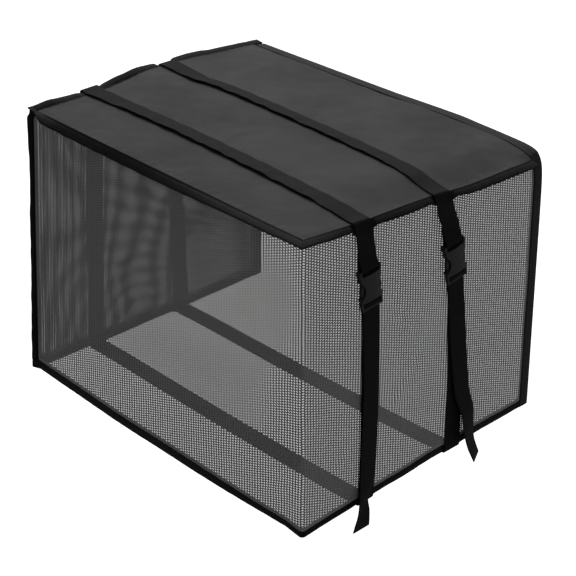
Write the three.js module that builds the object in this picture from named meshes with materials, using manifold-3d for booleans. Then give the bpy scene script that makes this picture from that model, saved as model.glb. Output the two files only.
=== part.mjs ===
// A fitted, box-shaped cover of mesh and coated cloth. It is open below and on its +Y side, and two webbing
// straps with side release buckles run right round it. Millimetres. X runs along the wide outdoor face, which
// looks to -Y, the buckles are on the +X side, and Z = 0 is the top of the top panel at its seams.
import * as THREE from "three";
import { mergeVertices } from "three/addons/utils/BufferGeometryUtils.js";
import Module from "manifold-3d";

// Seam to seam sizes
const WIDTH = 530;
const DEPTH = 402;
const HEIGHT = 377;

// Cloth
const TOP_SHEET = 1.5;
const MESH_SHEET = 1.2;
const GAP = 0.35;
const WALL_INSET = 2;
const FRONT_CORNER_RADIUS = 5;

// Folded tape on the seams and edges
const TAPE_THICK = 3;
const TAPE_TIP = 0.6;
const EDGE_TAPE = 16;
const EDGE_TAPE_THICK = 2.8;
const EDGE_TAPE_TURN = 5;
const FOLD_ROUND = 0.8;

// Webbing and buckles
const WEB_WIDTH = 27.5;
const WEB_THICK = 1.4;
const WEB_LIFT = 1.2;
const BUCKLE_SLOT = 28.5;

const HALF_W = WIDTH / 2;
const HALF_D = DEPTH / 2;
const WALL_X = HALF_W - WALL_INSET;
const WALL_Y = HALF_D - WALL_INSET;

// How far the soft corners sit from those of a true box. right, open and low say which corner it is.
const CORNERS = [
  { right: 1, open: 0, low: 0, dx: -2.4, dy: 2.2, dz: 6.6 },
  { right: 0, open: 0, low: 0, dx: 8.2, dy: 12.4, dz: 1 },
  { right: 0, open: 1, low: 0, dx: 6, dy: 1.7, dz: -5.6 },
  { right: 1, open: 1, low: 0, dx: 4.5, dy: 2.3, dz: 3 },
  { right: 1, open: 0, low: 1, dx: 4.8, dy: -4.9, dz: -14.5 },
  { right: 0, open: 0, low: 1, dx: -4, dy: -5.6, dz: -1.2 },
  { right: 1, open: 1, low: 1, dx: -1.9, dy: 6.1, dz: 10 },
  { right: 0, open: 1, low: 1, dx: -4, dy: 3, dz: 5 },
];

// The top's left edge bows up and out between and past the straps. along runs from the front to the open side.
const LEFT_BOW = [
  { along: 0, rise: 0, out: 0 },
  { along: 0.26, rise: 1.5, out: 0 },
  { along: 0.38, rise: 4.5, out: 2 },
  { along: 0.48, rise: 7.2, out: 6.5 },
  { along: 0.53, rise: 6.4, out: 8.6 },
  { along: 0.6, rise: 6.4, out: 10 },
  { along: 0.65, rise: 5, out: 9.4 },
  { along: 0.7, rise: 4.6, out: 8.5 },
  { along: 0.8, rise: 2.4, out: 6 },
  { along: 0.9, rise: 1.8, out: 3 },
  { along: 1, rise: 0, out: 0 },
];
const LEFT_BOW_REACH = 75;

// The top's right edge dips behind the second strap and comes up again at the open side.
const RIGHT_DIP = [
  { along: 0, rise: 1 },
  { along: 0.22, rise: -3 },
  { along: 0.5, rise: -4.8 },
  { along: 0.68, rise: -9.5 },
  { along: 0.86, rise: -8.4 },
  { along: 0.95, rise: -5 },
  { along: 1, rise: 0 },
];
const RIGHT_DIP_REACH = 60;
// The open side's top edge bows up past its middle and drops toward the rolled corner
const BACK_BOW = [
  { along: 0, rise: 0 },
  { along: 0.5, rise: 0.3 },
  { along: 0.56, rise: 1 },
  { along: 0.66, rise: 2.1 },
  { along: 0.73, rise: 2.5 },
  { along: 0.79, rise: 1.2 },
  { along: 0.83, rise: 0.6 },
  { along: 0.89, rise: -0.6 },
  { along: 0.96, rise: -1.4 },
  { along: 1, rise: -2.2 },
];
const BACK_BOW_REACH = 70;

// The top is held down by the straps and puffs up between them, most of all just before the second strap. lane
// is 0 at the outdoor edge, 1 and 2 at the straps' middles and 3 at the open edge.
const PUFF = [
  { lane: 0, rise: 0 },
  { lane: 0.5, rise: 1.6 },
  { lane: 0.84, rise: 1.8 },
  { lane: 1, rise: 0 },
  { lane: 1.3, rise: 1.4 },
  { lane: 1.7, rise: 4.6 },
  { lane: 1.87, rise: 4.8 },
  { lane: 2, rise: 2.4 },
  { lane: 2.14, rise: 0.4 },
  { lane: 2.5, rise: 1.2 },
  { lane: 3, rise: 0 },
];
const PUFF_REACH = 90;
const PANEL_LANES = [
  0, 0.2, 0.4, 0.6, 0.76, 0.845, 0.92, 1, 1.107, 1.2, 1.35, 1.5, 1.65, 1.78, 1.885, 1.95, 2, 2.05, 2.1, 2.25,
  2.45, 2.7, 3,
];

// The top corner at the open side has nothing under it, so it rolls over and down.
const ROLL = { x: 9, z: 8.6, reach: 15, from: 60 };

// Under the seams' meeting point at the left of the outdoor face the net stands out further than the top. The
// step is made within the first depth below the top and dies out down to the hem.
const SPREAD = { out: 7.5, depth: 10, reach: 60 };

// The walls: how far each swells out, how deep its soft upright folds are, and how its hem hangs
const WALLS = {
  front: { swell: 2.5, fold: 0.9, folds: 3.2, phase: 0.4, hem: -3.2 },
  right: { swell: 1.5, fold: 1.7, folds: 4.3, phase: 1.1, hem: 3 },
  left: { swell: 2, fold: 1.6, folds: 3.6, phase: 2.3, hem: -2 },
};
const WALL_REACH = 70;
// The outdoor face's hem sags along its left half and is drawn up just before the front corner
const FRONT_HEM = [
  { along: 0, rise: 0 },
  { along: 0.08, rise: -1 },
  { along: 0.2, rise: -1.5 },
  { along: 0.38, rise: -2.1 },
  { along: 0.55, rise: -1 },
  { along: 0.72, rise: -0.5 },
  { along: 0.8, rise: 0.5 },
  { along: 0.88, rise: 1.7 },
  { along: 0.93, rise: 1.8 },
  { along: 1, rise: 0 },
];

// Droop of each seam tape below level, in degrees, and how far it stands off, along its seam. Straps press it
// down.
const FRONT_DROOP = [
  { along: 0, angle: -36, reach: 10 },
  { along: 0.06, angle: 30, reach: 11.5 },
  { along: 0.14, angle: 48, reach: 12 },
  { along: 0.34, angle: 55, reach: 12 },
  { along: 0.55, angle: 38, reach: 12 },
  { along: 0.8, angle: 16, reach: 12 },
  { along: 1, angle: 12, reach: 12 },
];
const RIGHT_DROOP = [
  { along: 0, angle: 12, reach: 12 },
  { along: 0.1, angle: 14, reach: 12 },
  { along: 0.16, angle: 80, reach: 12 },
  { along: 0.275, angle: 80, reach: 12 },
  { along: 0.32, angle: 20, reach: 11 },
  { along: 0.44, angle: 12, reach: 10.5 },
  { along: 0.49, angle: 80, reach: 12 },
  { along: 0.614, angle: 80, reach: 12 },
  { along: 0.66, angle: 12, reach: 10.5 },
  { along: 0.85, angle: 11, reach: 10.5 },
  { along: 1, angle: 22, reach: 10 },
];
const LEFT_DROOP = [
  { along: 0, angle: -36, reach: 10 },
  { along: 0.07, angle: -52, reach: 12 },
  { along: 0.13, angle: -22, reach: 12 },
  { along: 0.18, angle: -5, reach: 12 },
  { along: 0.3, angle: -5, reach: 12 },
  { along: 0.35, angle: -40, reach: 12 },
  { along: 0.4, angle: -46, reach: 12 },
  { along: 0.46, angle: -28, reach: 12 },
  { along: 0.505, angle: -4, reach: 11 },
  { along: 0.535, angle: 60, reach: 12 },
  { along: 0.635, angle: 60, reach: 12 },
  { along: 0.66, angle: -2, reach: 12 },
  { along: 0.7, angle: -9, reach: 12 },
  { along: 0.9, angle: -6, reach: 12 },
  { along: 1, angle: -6, reach: 12.5 },
];
const CORNER_SWING = [
  { along: 0, angle: 4, reach: 7 },
  { along: 0.2, angle: -10, reach: 6.8 },
  { along: 0.55, angle: 8, reach: 6.8 },
  { along: 0.85, angle: -6, reach: 7.6 },
  { along: 1, angle: 6, reach: 8.2 },
];

// How much of the hem tape shows on the outside, round from the left side's open edge. turn counts walls.
const HEM_FACE = [
  { turn: 0, face: 12 },
  { turn: 1, face: 12.5 },
  { turn: 1.6, face: 12.5 },
  { turn: 1.9, face: 8.5 },
  { turn: 2, face: 8 },
  { turn: 2.15, face: 8.5 },
  { turn: 2.7, face: 11 },
  { turn: 3, face: 10 },
];

// The two straps: their line over the top and down each wall, the buckle's place and lean, and the free tail.
// out counts outward from the right wall, and twist is in degrees.
const STRAPS = [
  {
    name: "1",
    top: [
      { x: -HALF_W, y: -104, tilt: 3 },
      { x: -200, y: -101.5, tilt: 5 },
      { x: -100, y: -100, tilt: 6.5 },
      { x: 50, y: -103.5, tilt: 6 },
      { x: 170, y: -109, tilt: 4.5 },
      { x: HALF_W, y: -113, tilt: 0 },
    ],
    right: [
      { z: 0, y: -113 },
      { z: -30, y: -107.5 },
      { z: -85, y: -100 },
      { z: -137, y: -94.5 },
      { z: -300, y: -94 },
      { z: -HEIGHT, y: -95 },
    ],
    left: { top: -104, bottom: -98 },
    leftTapeTurnedDown: false,
    buckle: { y: -100, z: -85, lean: 7 },
    tail: [
      { z: -150, out: 3.7, aside: 0, twist: 0 },
      { z: -230, out: 4.6, aside: 0.6, twist: 1 },
      { z: -310, out: 4.4, aside: -0.6, twist: -1 },
      { z: -350, out: 4.6, aside: -1.5, twist: 3 },
      { z: -366, out: 6, aside: -5.5, twist: 14 },
      { z: -376, out: 7.6, aside: -9.5, twist: 20 },
      { z: -386, out: 8.8, aside: -10.5, twist: 12 },
      { z: -394, out: 9.4, aside: -12, twist: 5 },
      { z: -401, out: 9.2, aside: -13.5, twist: 0 },
      { z: -408, out: 8, aside: -13, twist: -3 },
    ],
  },
  {
    name: "2",
    top: [
      { x: -HALF_W, y: 33, tilt: 2 },
      { x: -215, y: 32.5, tilt: 6 },
      { x: -150, y: 38, tilt: 8 },
      { x: 0, y: 35, tilt: 7.5 },
      { x: 150, y: 28, tilt: 6 },
      { x: HALF_W, y: 17, tilt: 0 },
    ],
    right: [
      { z: 0, y: 17 },
      { z: -30, y: 25 },
      { z: -96.5, y: 41.7 },
      { z: -150, y: 49 },
      { z: -300, y: 55.8 },
      { z: -HEIGHT, y: 56.3 },
    ],
    left: { top: 33, bottom: 52 },
    leftTapeTurnedDown: true,
    buckle: { y: 41.7, z: -96.5, lean: 9.5 },
    tail: [
      { z: -160, out: 3.7, aside: 0, twist: 0 },
      { z: -230, out: 4.4, aside: 3, twist: 1 },
      { z: -297, out: 5.2, aside: 10.5, twist: 3 },
      { z: -330, out: 7.4, aside: 20.5, twist: 9 },
      { z: -358, out: 9.4, aside: 22.5, twist: 18 },
      { z: -375, out: 11.5, aside: 24.5, twist: 24 },
      { z: -392, out: 14.5, aside: 29.5, twist: 28 },
      { z: -399.5, out: 15.7, aside: 32, twist: 29.5 },
    ],
  },
];

// A column of a table at a value of its key: a smooth curve through the rows
function tableAt(table, key, column, value) {
  const last = table.length - 1;
  const rising = table[last][key] > table[0][key] ? 1 : -1;
  let i = 0;
  while (i < last - 1 && (value - table[i + 1][key]) * rising > 0) i += 1;
  const slope = (a, b) => (table[b][column] - table[a][column]) / (table[b][key] - table[a][key]);
  const span = table[i + 1][key] - table[i][key];
  const t = THREE.MathUtils.clamp((value - table[i][key]) / span, 0, 1);
  const here = slope(i, i + 1);
  const before = i > 0 ? slope(i - 1, i) : here;
  const after = i + 1 < last ? slope(i + 1, i + 2) : here;
  const startSlope = before * here > 0 ? (2 * before * here) / (before + here) : 0;
  const endSlope = after * here > 0 ? (2 * after * here) / (after + here) : 0;
  const t2 = t * t;
  const t3 = t2 * t;
  return (
    table[i][column] * (2 * t3 - 3 * t2 + 1) +
    table[i + 1][column] * (3 * t2 - 2 * t3) +
    span * (startSlope * (t3 - 2 * t2 + t) + endSlope * (t3 - t2))
  );
}

// Which lane of the top a point is in, and the y of a lane
function laneEdges(x) {
  return [-HALF_D, ...STRAPS.map((spec) => tableAt(spec.top, "x", "y", x)), HALF_D];
}

function laneAt(x, y) {
  const edges = laneEdges(THREE.MathUtils.clamp(x, -HALF_W, HALF_W));
  const at = THREE.MathUtils.clamp(y, edges[0], edges[3]);
  const lane = at < edges[1] ? 0 : at < edges[2] ? 1 : 2;
  return lane + (at - edges[lane]) / (edges[lane + 1] - edges[lane]);
}

function yOfLane(x, lane) {
  const edges = laneEdges(x);
  const from = Math.min(Math.floor(lane), 2);
  return THREE.MathUtils.lerp(edges[from], edges[from + 1], lane - from);
}

// 1 at zero distance, falling smoothly to 0 at reach
function fade(distance, reach) {
  const t = THREE.MathUtils.clamp(Math.abs(distance) / reach, 0, 1);
  return 1 - t * t * (3 - 2 * t);
}

// How one wall moves a point: a swell with upright folds outward, and its hem up or down
function wallShift(wall, along, low) {
  const middle = Math.sin(Math.PI * THREE.MathUtils.clamp(along, 0, 1));
  const height = Math.sin(Math.PI * THREE.MathUtils.clamp(low, 0, 1));
  const fold = Math.sin(2 * Math.PI * wall.folds * along + wall.phase + 1.3 * low);
  return {
    out: middle * height * wall.swell + middle * (0.35 + 0.65 * height) * low * wall.fold * fold,
    rise: middle * Math.max(low, 0) ** 2 * wall.hem,
  };
}

// Moves a point of the true box to its place on the soft cover. Every piece goes through it, so that
// neighbours keep their distance.
function soften(point) {
  const right = point.x / WIDTH + 0.5;
  const open = point.y / DEPTH + 0.5;
  const low = -point.z / HEIGHT;
  const moved = point.clone();
  for (const corner of CORNERS) {
    const share =
      (corner.right ? right : 1 - right) * (corner.open ? open : 1 - open) * (corner.low ? low : 1 - low);
    moved.x += share * corner.dx;
    moved.y += share * corner.dy;
    moved.z += share * corner.dz;
  }
  const along = THREE.MathUtils.clamp(open, 0, 1);
  const inLeft = fade(Math.max(point.x + HALF_W, 0), LEFT_BOW_REACH);
  moved.z += tableAt(LEFT_BOW, "along", "rise", along) * inLeft * fade(Math.max(-point.z, 0), HEIGHT);
  moved.x -= tableAt(LEFT_BOW, "along", "out", along) * inLeft * fade(Math.max(-point.z, 0), HEIGHT * 0.7);
  const inRight = fade(Math.max(HALF_W - point.x, 0), RIGHT_DIP_REACH);
  moved.z += tableAt(RIGHT_DIP, "along", "rise", along) * inRight * fade(Math.max(-point.z, 0), HEIGHT * 0.6);
  const inBack = fade(Math.max(HALF_D - point.y, 0), BACK_BOW_REACH);
  const across = THREE.MathUtils.clamp(right, 0, 1);
  moved.z += tableAt(BACK_BOW, "along", "rise", across) * inBack * fade(Math.max(-point.z, 0), BACK_BOW_REACH);
  const puff = tableAt(PUFF, "lane", "rise", laneAt(point.x, point.y));
  const inward = Math.max(HALF_W - Math.abs(point.x), 0);
  moved.z += puff * (1 - fade(inward, PUFF_REACH)) * fade(Math.max(-point.z, 0), PUFF_REACH);
  const fromEdge = Math.hypot(Math.max(HALF_W - point.x, 0), Math.max(-point.z, 0));
  const roll = Math.exp(-fromEdge / ROLL.reach) * fade(Math.max(HALF_D - point.y, 0), ROLL.from);
  moved.x -= ROLL.x * roll;
  moved.z -= ROLL.z * roll;
  const deep = Math.max(-point.z, 0);
  const nearLeft = fade(Math.max(point.x + HALF_W, 0), SPREAD.reach);
  const nearFront = fade(Math.max(point.y + HALF_D, 0), SPREAD.reach);
  const below = (1 - fade(deep, SPREAD.depth)) * Math.max(1 - deep / HEIGHT, 0);
  const spread = SPREAD.out * Math.SQRT1_2 * nearLeft * nearFront * below;
  moved.x -= spread;
  moved.y -= spread;
  const front = wallShift(WALLS.front, right, low);
  const onFront = fade(Math.max(point.y + HALF_D, 0), WALL_REACH);
  moved.y -= front.out * onFront;
  const frontHem = tableAt(FRONT_HEM, "along", "rise", across) * Math.max(low, 0) ** 2;
  moved.z += (front.rise + frontHem) * onFront;
  const onRight = fade(Math.max(HALF_W - point.x, 0), WALL_REACH);
  const rightShift = wallShift(WALLS.right, open, low);
  moved.x += rightShift.out * onRight;
  moved.z += rightShift.rise * onRight;
  const onLeft = fade(Math.max(point.x + HALF_W, 0), WALL_REACH);
  const leftShift = wallShift(WALLS.left, open, low);
  moved.x -= leftShift.out * onLeft;
  moved.z += leftShift.rise * onLeft;
  return moved;
}

// A closed body from its points and faces, each face a list of three or more corners
function body(points, faces) {
  const index = [];
  for (const face of faces)
    for (let i = 1; i + 1 < face.length; i += 1) index.push(face[0], face[i], face[i + 1]);
  const geometry = new THREE.BufferGeometry().setFromPoints(points);
  geometry.setIndex(index);
  if (volumeOf(geometry) < 0)
    for (let i = 0; i < index.length; i += 3)
      [index[i + 1], index[i + 2]] = [index[i + 2], index[i + 1]];
  geometry.setIndex(index);
  geometry.computeVertexNormals();
  return geometry;
}

function volumeOf(geometry) {
  const place = geometry.getAttribute("position");
  const index = geometry.getIndex().array;
  const [a, b, c] = [new THREE.Vector3(), new THREE.Vector3(), new THREE.Vector3()];
  let sum = 0;
  for (let i = 0; i < index.length; i += 3) {
    a.fromBufferAttribute(place, index[i]);
    b.fromBufferAttribute(place, index[i + 1]);
    c.fromBufferAttribute(place, index[i + 2]);
    sum += a.dot(b.cross(c));
  }
  return sum;
}

// A body through a row of sections, each a loop of as many points, with flat ends
function loft(sections) {
  const sides = sections[0].length;
  const faces = [];
  for (let s = 0; s + 1 < sections.length; s += 1)
    for (let k = 0; k < sides; k += 1) {
      const next = (k + 1) % sides;
      faces.push([s * sides + k, s * sides + next, (s + 1) * sides + next, (s + 1) * sides + k]);
    }
  const lastStart = (sections.length - 1) * sides;
  const loop = [...Array(sides).keys()];
  faces.push(loop.slice().reverse());
  faces.push(loop.map((k) => lastStart + k));
  return body(sections.flat(), faces);
}

// A sheet over a grid: pointAt gives the outer point of a column and row, and inner points lie thick behind it
function sheet(columns, rows, thick, pointAt) {
  const outer = [];
  const inner = [];
  for (let i = 0; i <= columns; i += 1)
    for (let j = 0; j <= rows; j += 1) {
      const at = pointAt(i / columns, j / rows);
      outer.push(soften(at.point));
      inner.push(soften(at.point.clone().addScaledVector(at.normal, -thick)));
    }
  const id = (i, j) => i * (rows + 1) + j;
  const under = (i, j) => outer.length + id(i, j);
  const faces = [];
  for (let i = 0; i < columns; i += 1)
    for (let j = 0; j < rows; j += 1) {
      faces.push([id(i, j), id(i + 1, j), id(i + 1, j + 1), id(i, j + 1)]);
      faces.push([under(i, j), under(i, j + 1), under(i + 1, j + 1), under(i + 1, j)]);
    }
  for (let i = 0; i < columns; i += 1) {
    faces.push([id(i, 0), under(i, 0), under(i + 1, 0), id(i + 1, 0)]);
    faces.push([id(i, rows), id(i + 1, rows), under(i + 1, rows), under(i, rows)]);
  }
  for (let j = 0; j < rows; j += 1) {
    faces.push([id(0, j), id(0, j + 1), under(0, j + 1), under(0, j)]);
    faces.push([id(columns, j), under(columns, j), under(columns, j + 1), id(columns, j + 1)]);
  }
  return body([...outer, ...inner], faces);
}

const UP = new THREE.Vector3(0, 0, 1);

function topPanel() {
  const rows = PANEL_LANES.length - 1;
  const front = -HALF_D + WALL_INSET;
  const back = HALF_D - EDGE_TAPE - GAP;
  return sheet(24, rows, TOP_SHEET, (s, t) => {
    const x = THREE.MathUtils.lerp(-HALF_W + WALL_INSET, HALF_W - WALL_INSET, s);
    const y = THREE.MathUtils.clamp(yOfLane(x, PANEL_LANES[Math.round(t * rows)]), front, back);
    return { point: new THREE.Vector3(x, y, 0), normal: UP };
  });
}

// The walls' outer face in plan, from the left wall's open edge round to the right wall's. turn is 0 to 1 on the
// left wall, 1 to 2 on the front and 2 to 3 on the right wall. The front right corner is a soft turn.
function wallAt(turn) {
  const softHalf = (FRONT_CORNER_RADIUS * Math.PI) / 4;
  const straight = 2 * WALL_X - FRONT_CORNER_RADIUS + softHalf;
  const sideways = 2 * WALL_Y - FRONT_CORNER_RADIUS + softHalf;
  if (turn <= 1) {
    return {
      point: new THREE.Vector3(-WALL_X, THREE.MathUtils.lerp(WALL_Y + WALL_INSET, -WALL_Y, turn), 0),
      normal: new THREE.Vector3(-1, 0, 0),
    };
  }
  const fromLeft = (turn - 1) * straight;
  const fromTurn = (turn - 2) * sideways;
  const centre = new THREE.Vector3(WALL_X - FRONT_CORNER_RADIUS, -WALL_Y + FRONT_CORNER_RADIUS, 0);
  const arc = turn <= 2 ? fromLeft - straight : fromTurn;
  if (turn <= 2 && -arc > softHalf)
    return { point: new THREE.Vector3(-WALL_X + fromLeft, -WALL_Y, 0), normal: new THREE.Vector3(0, -1, 0) };
  if (turn > 2 && arc > softHalf)
    return {
      point: new THREE.Vector3(WALL_X, centre.y + fromTurn - softHalf, 0),
      normal: new THREE.Vector3(1, 0, 0),
    };
  const angle = arc / FRONT_CORNER_RADIUS - Math.PI / 4;
  const normal = new THREE.Vector3(Math.cos(angle), Math.sin(angle), 0);
  return { point: centre.addScaledVector(normal, FRONT_CORNER_RADIUS), normal };
}

// The turn at which the right or left wall reaches a given y
function turnAtY(y, side) {
  if (side < 0) return (WALL_Y + WALL_INSET - y) / (2 * WALL_Y + WALL_INSET);
  const softHalf = (FRONT_CORNER_RADIUS * Math.PI) / 4;
  const sideways = 2 * WALL_Y - FRONT_CORNER_RADIUS + softHalf;
  return 2 + (y + WALL_Y - FRONT_CORNER_RADIUS + softHalf) / sideways;
}

// Turns along a stretch of wall, closer together round the front right corner
function turnsBetween(first, last, count) {
  const turns = [];
  for (let i = 0; i <= count; i += 1) turns.push(THREE.MathUtils.lerp(first, last, i / count));
  if (first < 2 && last > 2)
    for (const near of [-0.0155, -0.0095, -0.0032, 0.0042, 0.0125, 0.0205]) turns.push(2 + near);
  return turns.sort((a, b) => a - b).filter((t, i, all) => i === 0 || t - all[i - 1] > 0.003);
}

// A wall of mesh between two turns, hung from the top seam to just above the hem tape
const WALL_TOP = -(TAPE_THICK / 2 + TOP_SHEET / 2 + GAP + 0.1);
function meshWall(first, last, count, rows) {
  const turns = turnsBetween(first, last, count);
  return sheet(turns.length - 1, rows, MESH_SHEET, (s, t) => {
    const turn = turns[Math.round(s * (turns.length - 1))];
    const at = wallAt(turn);
    const bottom = -HEIGHT + tableAt(HEM_FACE, "turn", "face", turn) + GAP;
    at.point.z = THREE.MathUtils.lerp(WALL_TOP, bottom, t);
    return at;
  });
}

function hemTape(first, last) {
  const sections = turnsBetween(first, last, 66).map((turn) => {
    const at = wallAt(turn);
    const proud = (EDGE_TAPE_THICK - MESH_SHEET) / 2;
    const face = tableAt(HEM_FACE, "turn", "face", turn);
    const outside = at.point.clone().addScaledVector(at.normal, proud);
    const inside = at.point.clone().addScaledVector(at.normal, proud - EDGE_TAPE_THICK);
    const height = (p, z) => soften(p.clone().setZ(-HEIGHT + z));
    const fold = outside.clone().lerp(inside, 0.5);
    return [
      height(outside, FOLD_ROUND),
      height(outside, face),
      height(inside, face),
      height(inside, FOLD_ROUND),
      height(fold, 0),
    ];
  });
  return loft(sections);
}

// The tape round the open side's edge: up the right wall, over the top and down the left wall
function openingTape() {
  const wall = WALL_X - MESH_SHEET / 2;
  const top = -TOP_SHEET / 2;
  const route = [];
  const steps = { wall: 14, turn: 4, top: 22 };
  for (let i = 0; i < steps.wall; i += 1)
    route.push({
      x: wall,
      z: THREE.MathUtils.lerp(-HEIGHT, top - EDGE_TAPE_TURN, i / steps.wall),
      angle: 0,
    });
  for (let i = 0; i <= steps.turn; i += 1) {
    const angle = (i / steps.turn) * (Math.PI / 2);
    route.push({
      x: wall - EDGE_TAPE_TURN * (1 - Math.cos(angle)),
      z: top - EDGE_TAPE_TURN * (1 - Math.sin(angle)),
      angle,
    });
  }
  for (let i = 1; i < steps.top; i += 1)
    route.push({
      x: THREE.MathUtils.lerp(wall - EDGE_TAPE_TURN, -wall + EDGE_TAPE_TURN, i / steps.top),
      z: top,
      angle: Math.PI / 2,
    });
  for (let i = 0; i <= steps.turn; i += 1) {
    const angle = Math.PI / 2 + (i / steps.turn) * (Math.PI / 2);
    route.push({
      x: -wall + EDGE_TAPE_TURN * (1 + Math.cos(angle)),
      z: top - EDGE_TAPE_TURN * (1 - Math.sin(angle)),
      angle,
    });
  }
  for (let i = 1; i <= steps.wall; i += 1)
    route.push({
      x: -wall,
      z: THREE.MathUtils.lerp(top - EDGE_TAPE_TURN, -HEIGHT, i / steps.wall),
      angle: Math.PI,
    });
  const sections = route.map(({ x, z, angle }) => {
    const half = EDGE_TAPE_THICK / 2;
    const at = (y, n) => soften(new THREE.Vector3(x + n * Math.cos(angle), y, z + n * Math.sin(angle)));
    return [
      at(HALF_D - EDGE_TAPE, -half),
      at(HALF_D - EDGE_TAPE, half),
      at(HALF_D - FOLD_ROUND, half),
      at(HALF_D, 0),
      at(HALF_D - FOLD_ROUND, -half),
    ];
  });
  return loft(sections);
}

// A folded tape that stands off a seam. Its section turns by the droop table, and mitre cuts an end on the slant
// so that two tapes meet at a corner.
function seamTape(seam) {
  const { start, end, outward, droop, steps, mitreStart = 0, mitreEnd = 0, down = UP } = seam;
  const direction = end.clone().sub(start).normalize();
  const sections = [];
  for (let i = 0; i <= steps; i += 1) {
    const along = i / steps;
    const root = start.clone().lerp(end, along);
    const angle = THREE.MathUtils.degToRad(tableAt(droop, "along", "angle", along));
    const reach = tableAt(droop, "along", "reach", along);
    const loop = [
      { far: 0, side: TAPE_THICK / 2 },
      { far: reach, side: TAPE_THICK / 2 - 0.2 },
      { far: reach + TAPE_TIP, side: 0 },
      { far: reach, side: -TAPE_THICK / 2 + 0.2 },
      { far: 0, side: -TAPE_THICK / 2 },
    ];
    sections.push(
      loop.map(({ far, side }) => {
        const out = far * Math.cos(angle) + side * Math.sin(angle);
        const rise = side * Math.cos(angle) - far * Math.sin(angle);
        const mitre = (i === 0 ? -mitreStart : i === steps ? mitreEnd : 0) * out;
        const point = root.clone().addScaledVector(outward, out).addScaledVector(down, rise);
        return soften(point.addScaledVector(direction, mitre));
      }),
    );
  }
  return loft(sections);
}

function topSeamTapes() {
  const z = -TOP_SHEET / 2;
  const meet = GAP / Math.SQRT2;
  const corner = (x, y) => new THREE.Vector3(x, y, z);
  return {
    seam_tape_front: seamTape({
      start: corner(-HALF_W + meet, -HALF_D),
      end: corner(HALF_W - meet, -HALF_D),
      outward: new THREE.Vector3(0, -1, 0),
      droop: FRONT_DROOP,
      steps: 32,
      mitreStart: 1,
      mitreEnd: 1,
    }),
    seam_tape_right: seamTape({
      start: corner(HALF_W, -HALF_D + meet),
      end: corner(HALF_W, HALF_D - EDGE_TAPE - GAP),
      outward: new THREE.Vector3(1, 0, 0),
      droop: RIGHT_DROOP,
      steps: 48,
      mitreStart: 1,
    }),
    seam_tape_left: seamTape({
      start: corner(-HALF_W, -HALF_D + meet),
      end: corner(-HALF_W, HALF_D),
      outward: new THREE.Vector3(-1, 0, 0),
      droop: LEFT_DROOP,
      steps: 56,
      mitreStart: 1,
    }),
  };
}

function cornerTape() {
  const slant = new THREE.Vector3(-1, -1, 0).normalize();
  const across = new THREE.Vector3(1, -1, 0).normalize();
  const foot = tableAt(HEM_FACE, "turn", "face", 1) + GAP;
  return seamTape({
    start: new THREE.Vector3(-WALL_X, -WALL_Y, WALL_TOP - 2.5),
    end: new THREE.Vector3(-WALL_X, -WALL_Y, -HEIGHT + foot),
    outward: slant,
    down: across,
    droop: CORNER_SWING,
    steps: 16,
  });
}

// The buckle's own frame: across is along the webbing's width, down is along its length and out is off the wall
function buckleFrame(buckle) {
  const lean = THREE.MathUtils.degToRad(buckle.lean);
  const frame = new THREE.Matrix4().makeBasis(
    new THREE.Vector3(0, -Math.cos(lean), -Math.sin(lean)),
    new THREE.Vector3(0, Math.sin(lean), -Math.cos(lean)),
    new THREE.Vector3(1, 0, 0),
  );
  const centre = soften(new THREE.Vector3(WALL_X, buckle.y, buckle.z));
  return frame.setPosition(centre);
}

// The webbing's way through the socket's bar, from above it to the stitched end behind, and through the plug's
// ladder, from the load side up and over to the tail. Both in the buckle's frame.
const SOCKET_LOOP = [
  { down: -50, out: 5.1 },
  { down: -44, out: 5.5 },
  { down: -37, out: 6.8 },
  { down: -31, out: 8.2 },
  { down: -26, out: 8.5 },
  { down: -24.2, out: 7.9 },
  { down: -23.8, out: 5.8 },
  { down: -24.2, out: 3.7 },
  { down: -25.5, out: 3.1 },
  { down: -31, out: 2.9 },
  { down: -37, out: 2.8 },
  { down: -44, out: 3.1 },
  { down: -50, out: 3.2 },
];
const LADDER_LOOP = [
  { down: 45, out: 1.9 },
  { down: 35, out: 1.7 },
  { down: 25, out: 1.6 },
  { down: 19.5, out: 1.8 },
  { down: 17.6, out: 3 },
  { down: 17.1, out: 5.5 },
  { down: 17.5, out: 7.6 },
  { down: 18.9, out: 8.5 },
  { down: 20.9, out: 8.5 },
  { down: 22.3, out: 7.8 },
  { down: 22.9, out: 6 },
  { down: 23.3, out: 4.3 },
  { down: 24.7, out: 3.5 },
  { down: 30, out: 3.5 },
  { down: 38, out: 3.6 },
];

// The webbing's centre line over the cover, in the true box's frame. Distances out are from the seam planes.
const RIGHT_OVER = [
  { out: -26, z: 1.2 },
  { out: -12, z: 1.25 },
  { out: -3, z: 1.5 },
  { out: 0.4, z: 1.5 },
  { out: 2.2, z: 0.4 },
  { out: 3, z: -1.4 },
  { out: 3.8, z: -6 },
  { out: 4.8, z: -11 },
  { out: 5, z: -14 },
  { out: 4.4, z: -21 },
];
const LEFT_OVER_DOWN = [
  { out: 6, z: -34 },
  { out: 9.2, z: -16 },
  { out: 9.6, z: -12.5 },
  { out: 9.2, z: -9.5 },
  { out: 3.6, z: 0.3 },
  { out: 2.6, z: 1.4 },
  { out: 0.6, z: 1.9 },
  { out: -3, z: 1.4 },
  { out: -14, z: 1.2 },
];
const LEFT_OVER_FLAT = [
  { out: 7.5, z: -36 },
  { out: 12, z: -14 },
  { out: 14.1, z: -3 },
  { out: 14.2, z: 0.6 },
  { out: 13.5, z: 2.3 },
  { out: 12, z: 3 },
  { out: 5, z: 2.3 },
  { out: 0, z: 1.8 },
  { out: -6, z: 1.3 },
  { out: -16, z: 1.2 },
];

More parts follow.
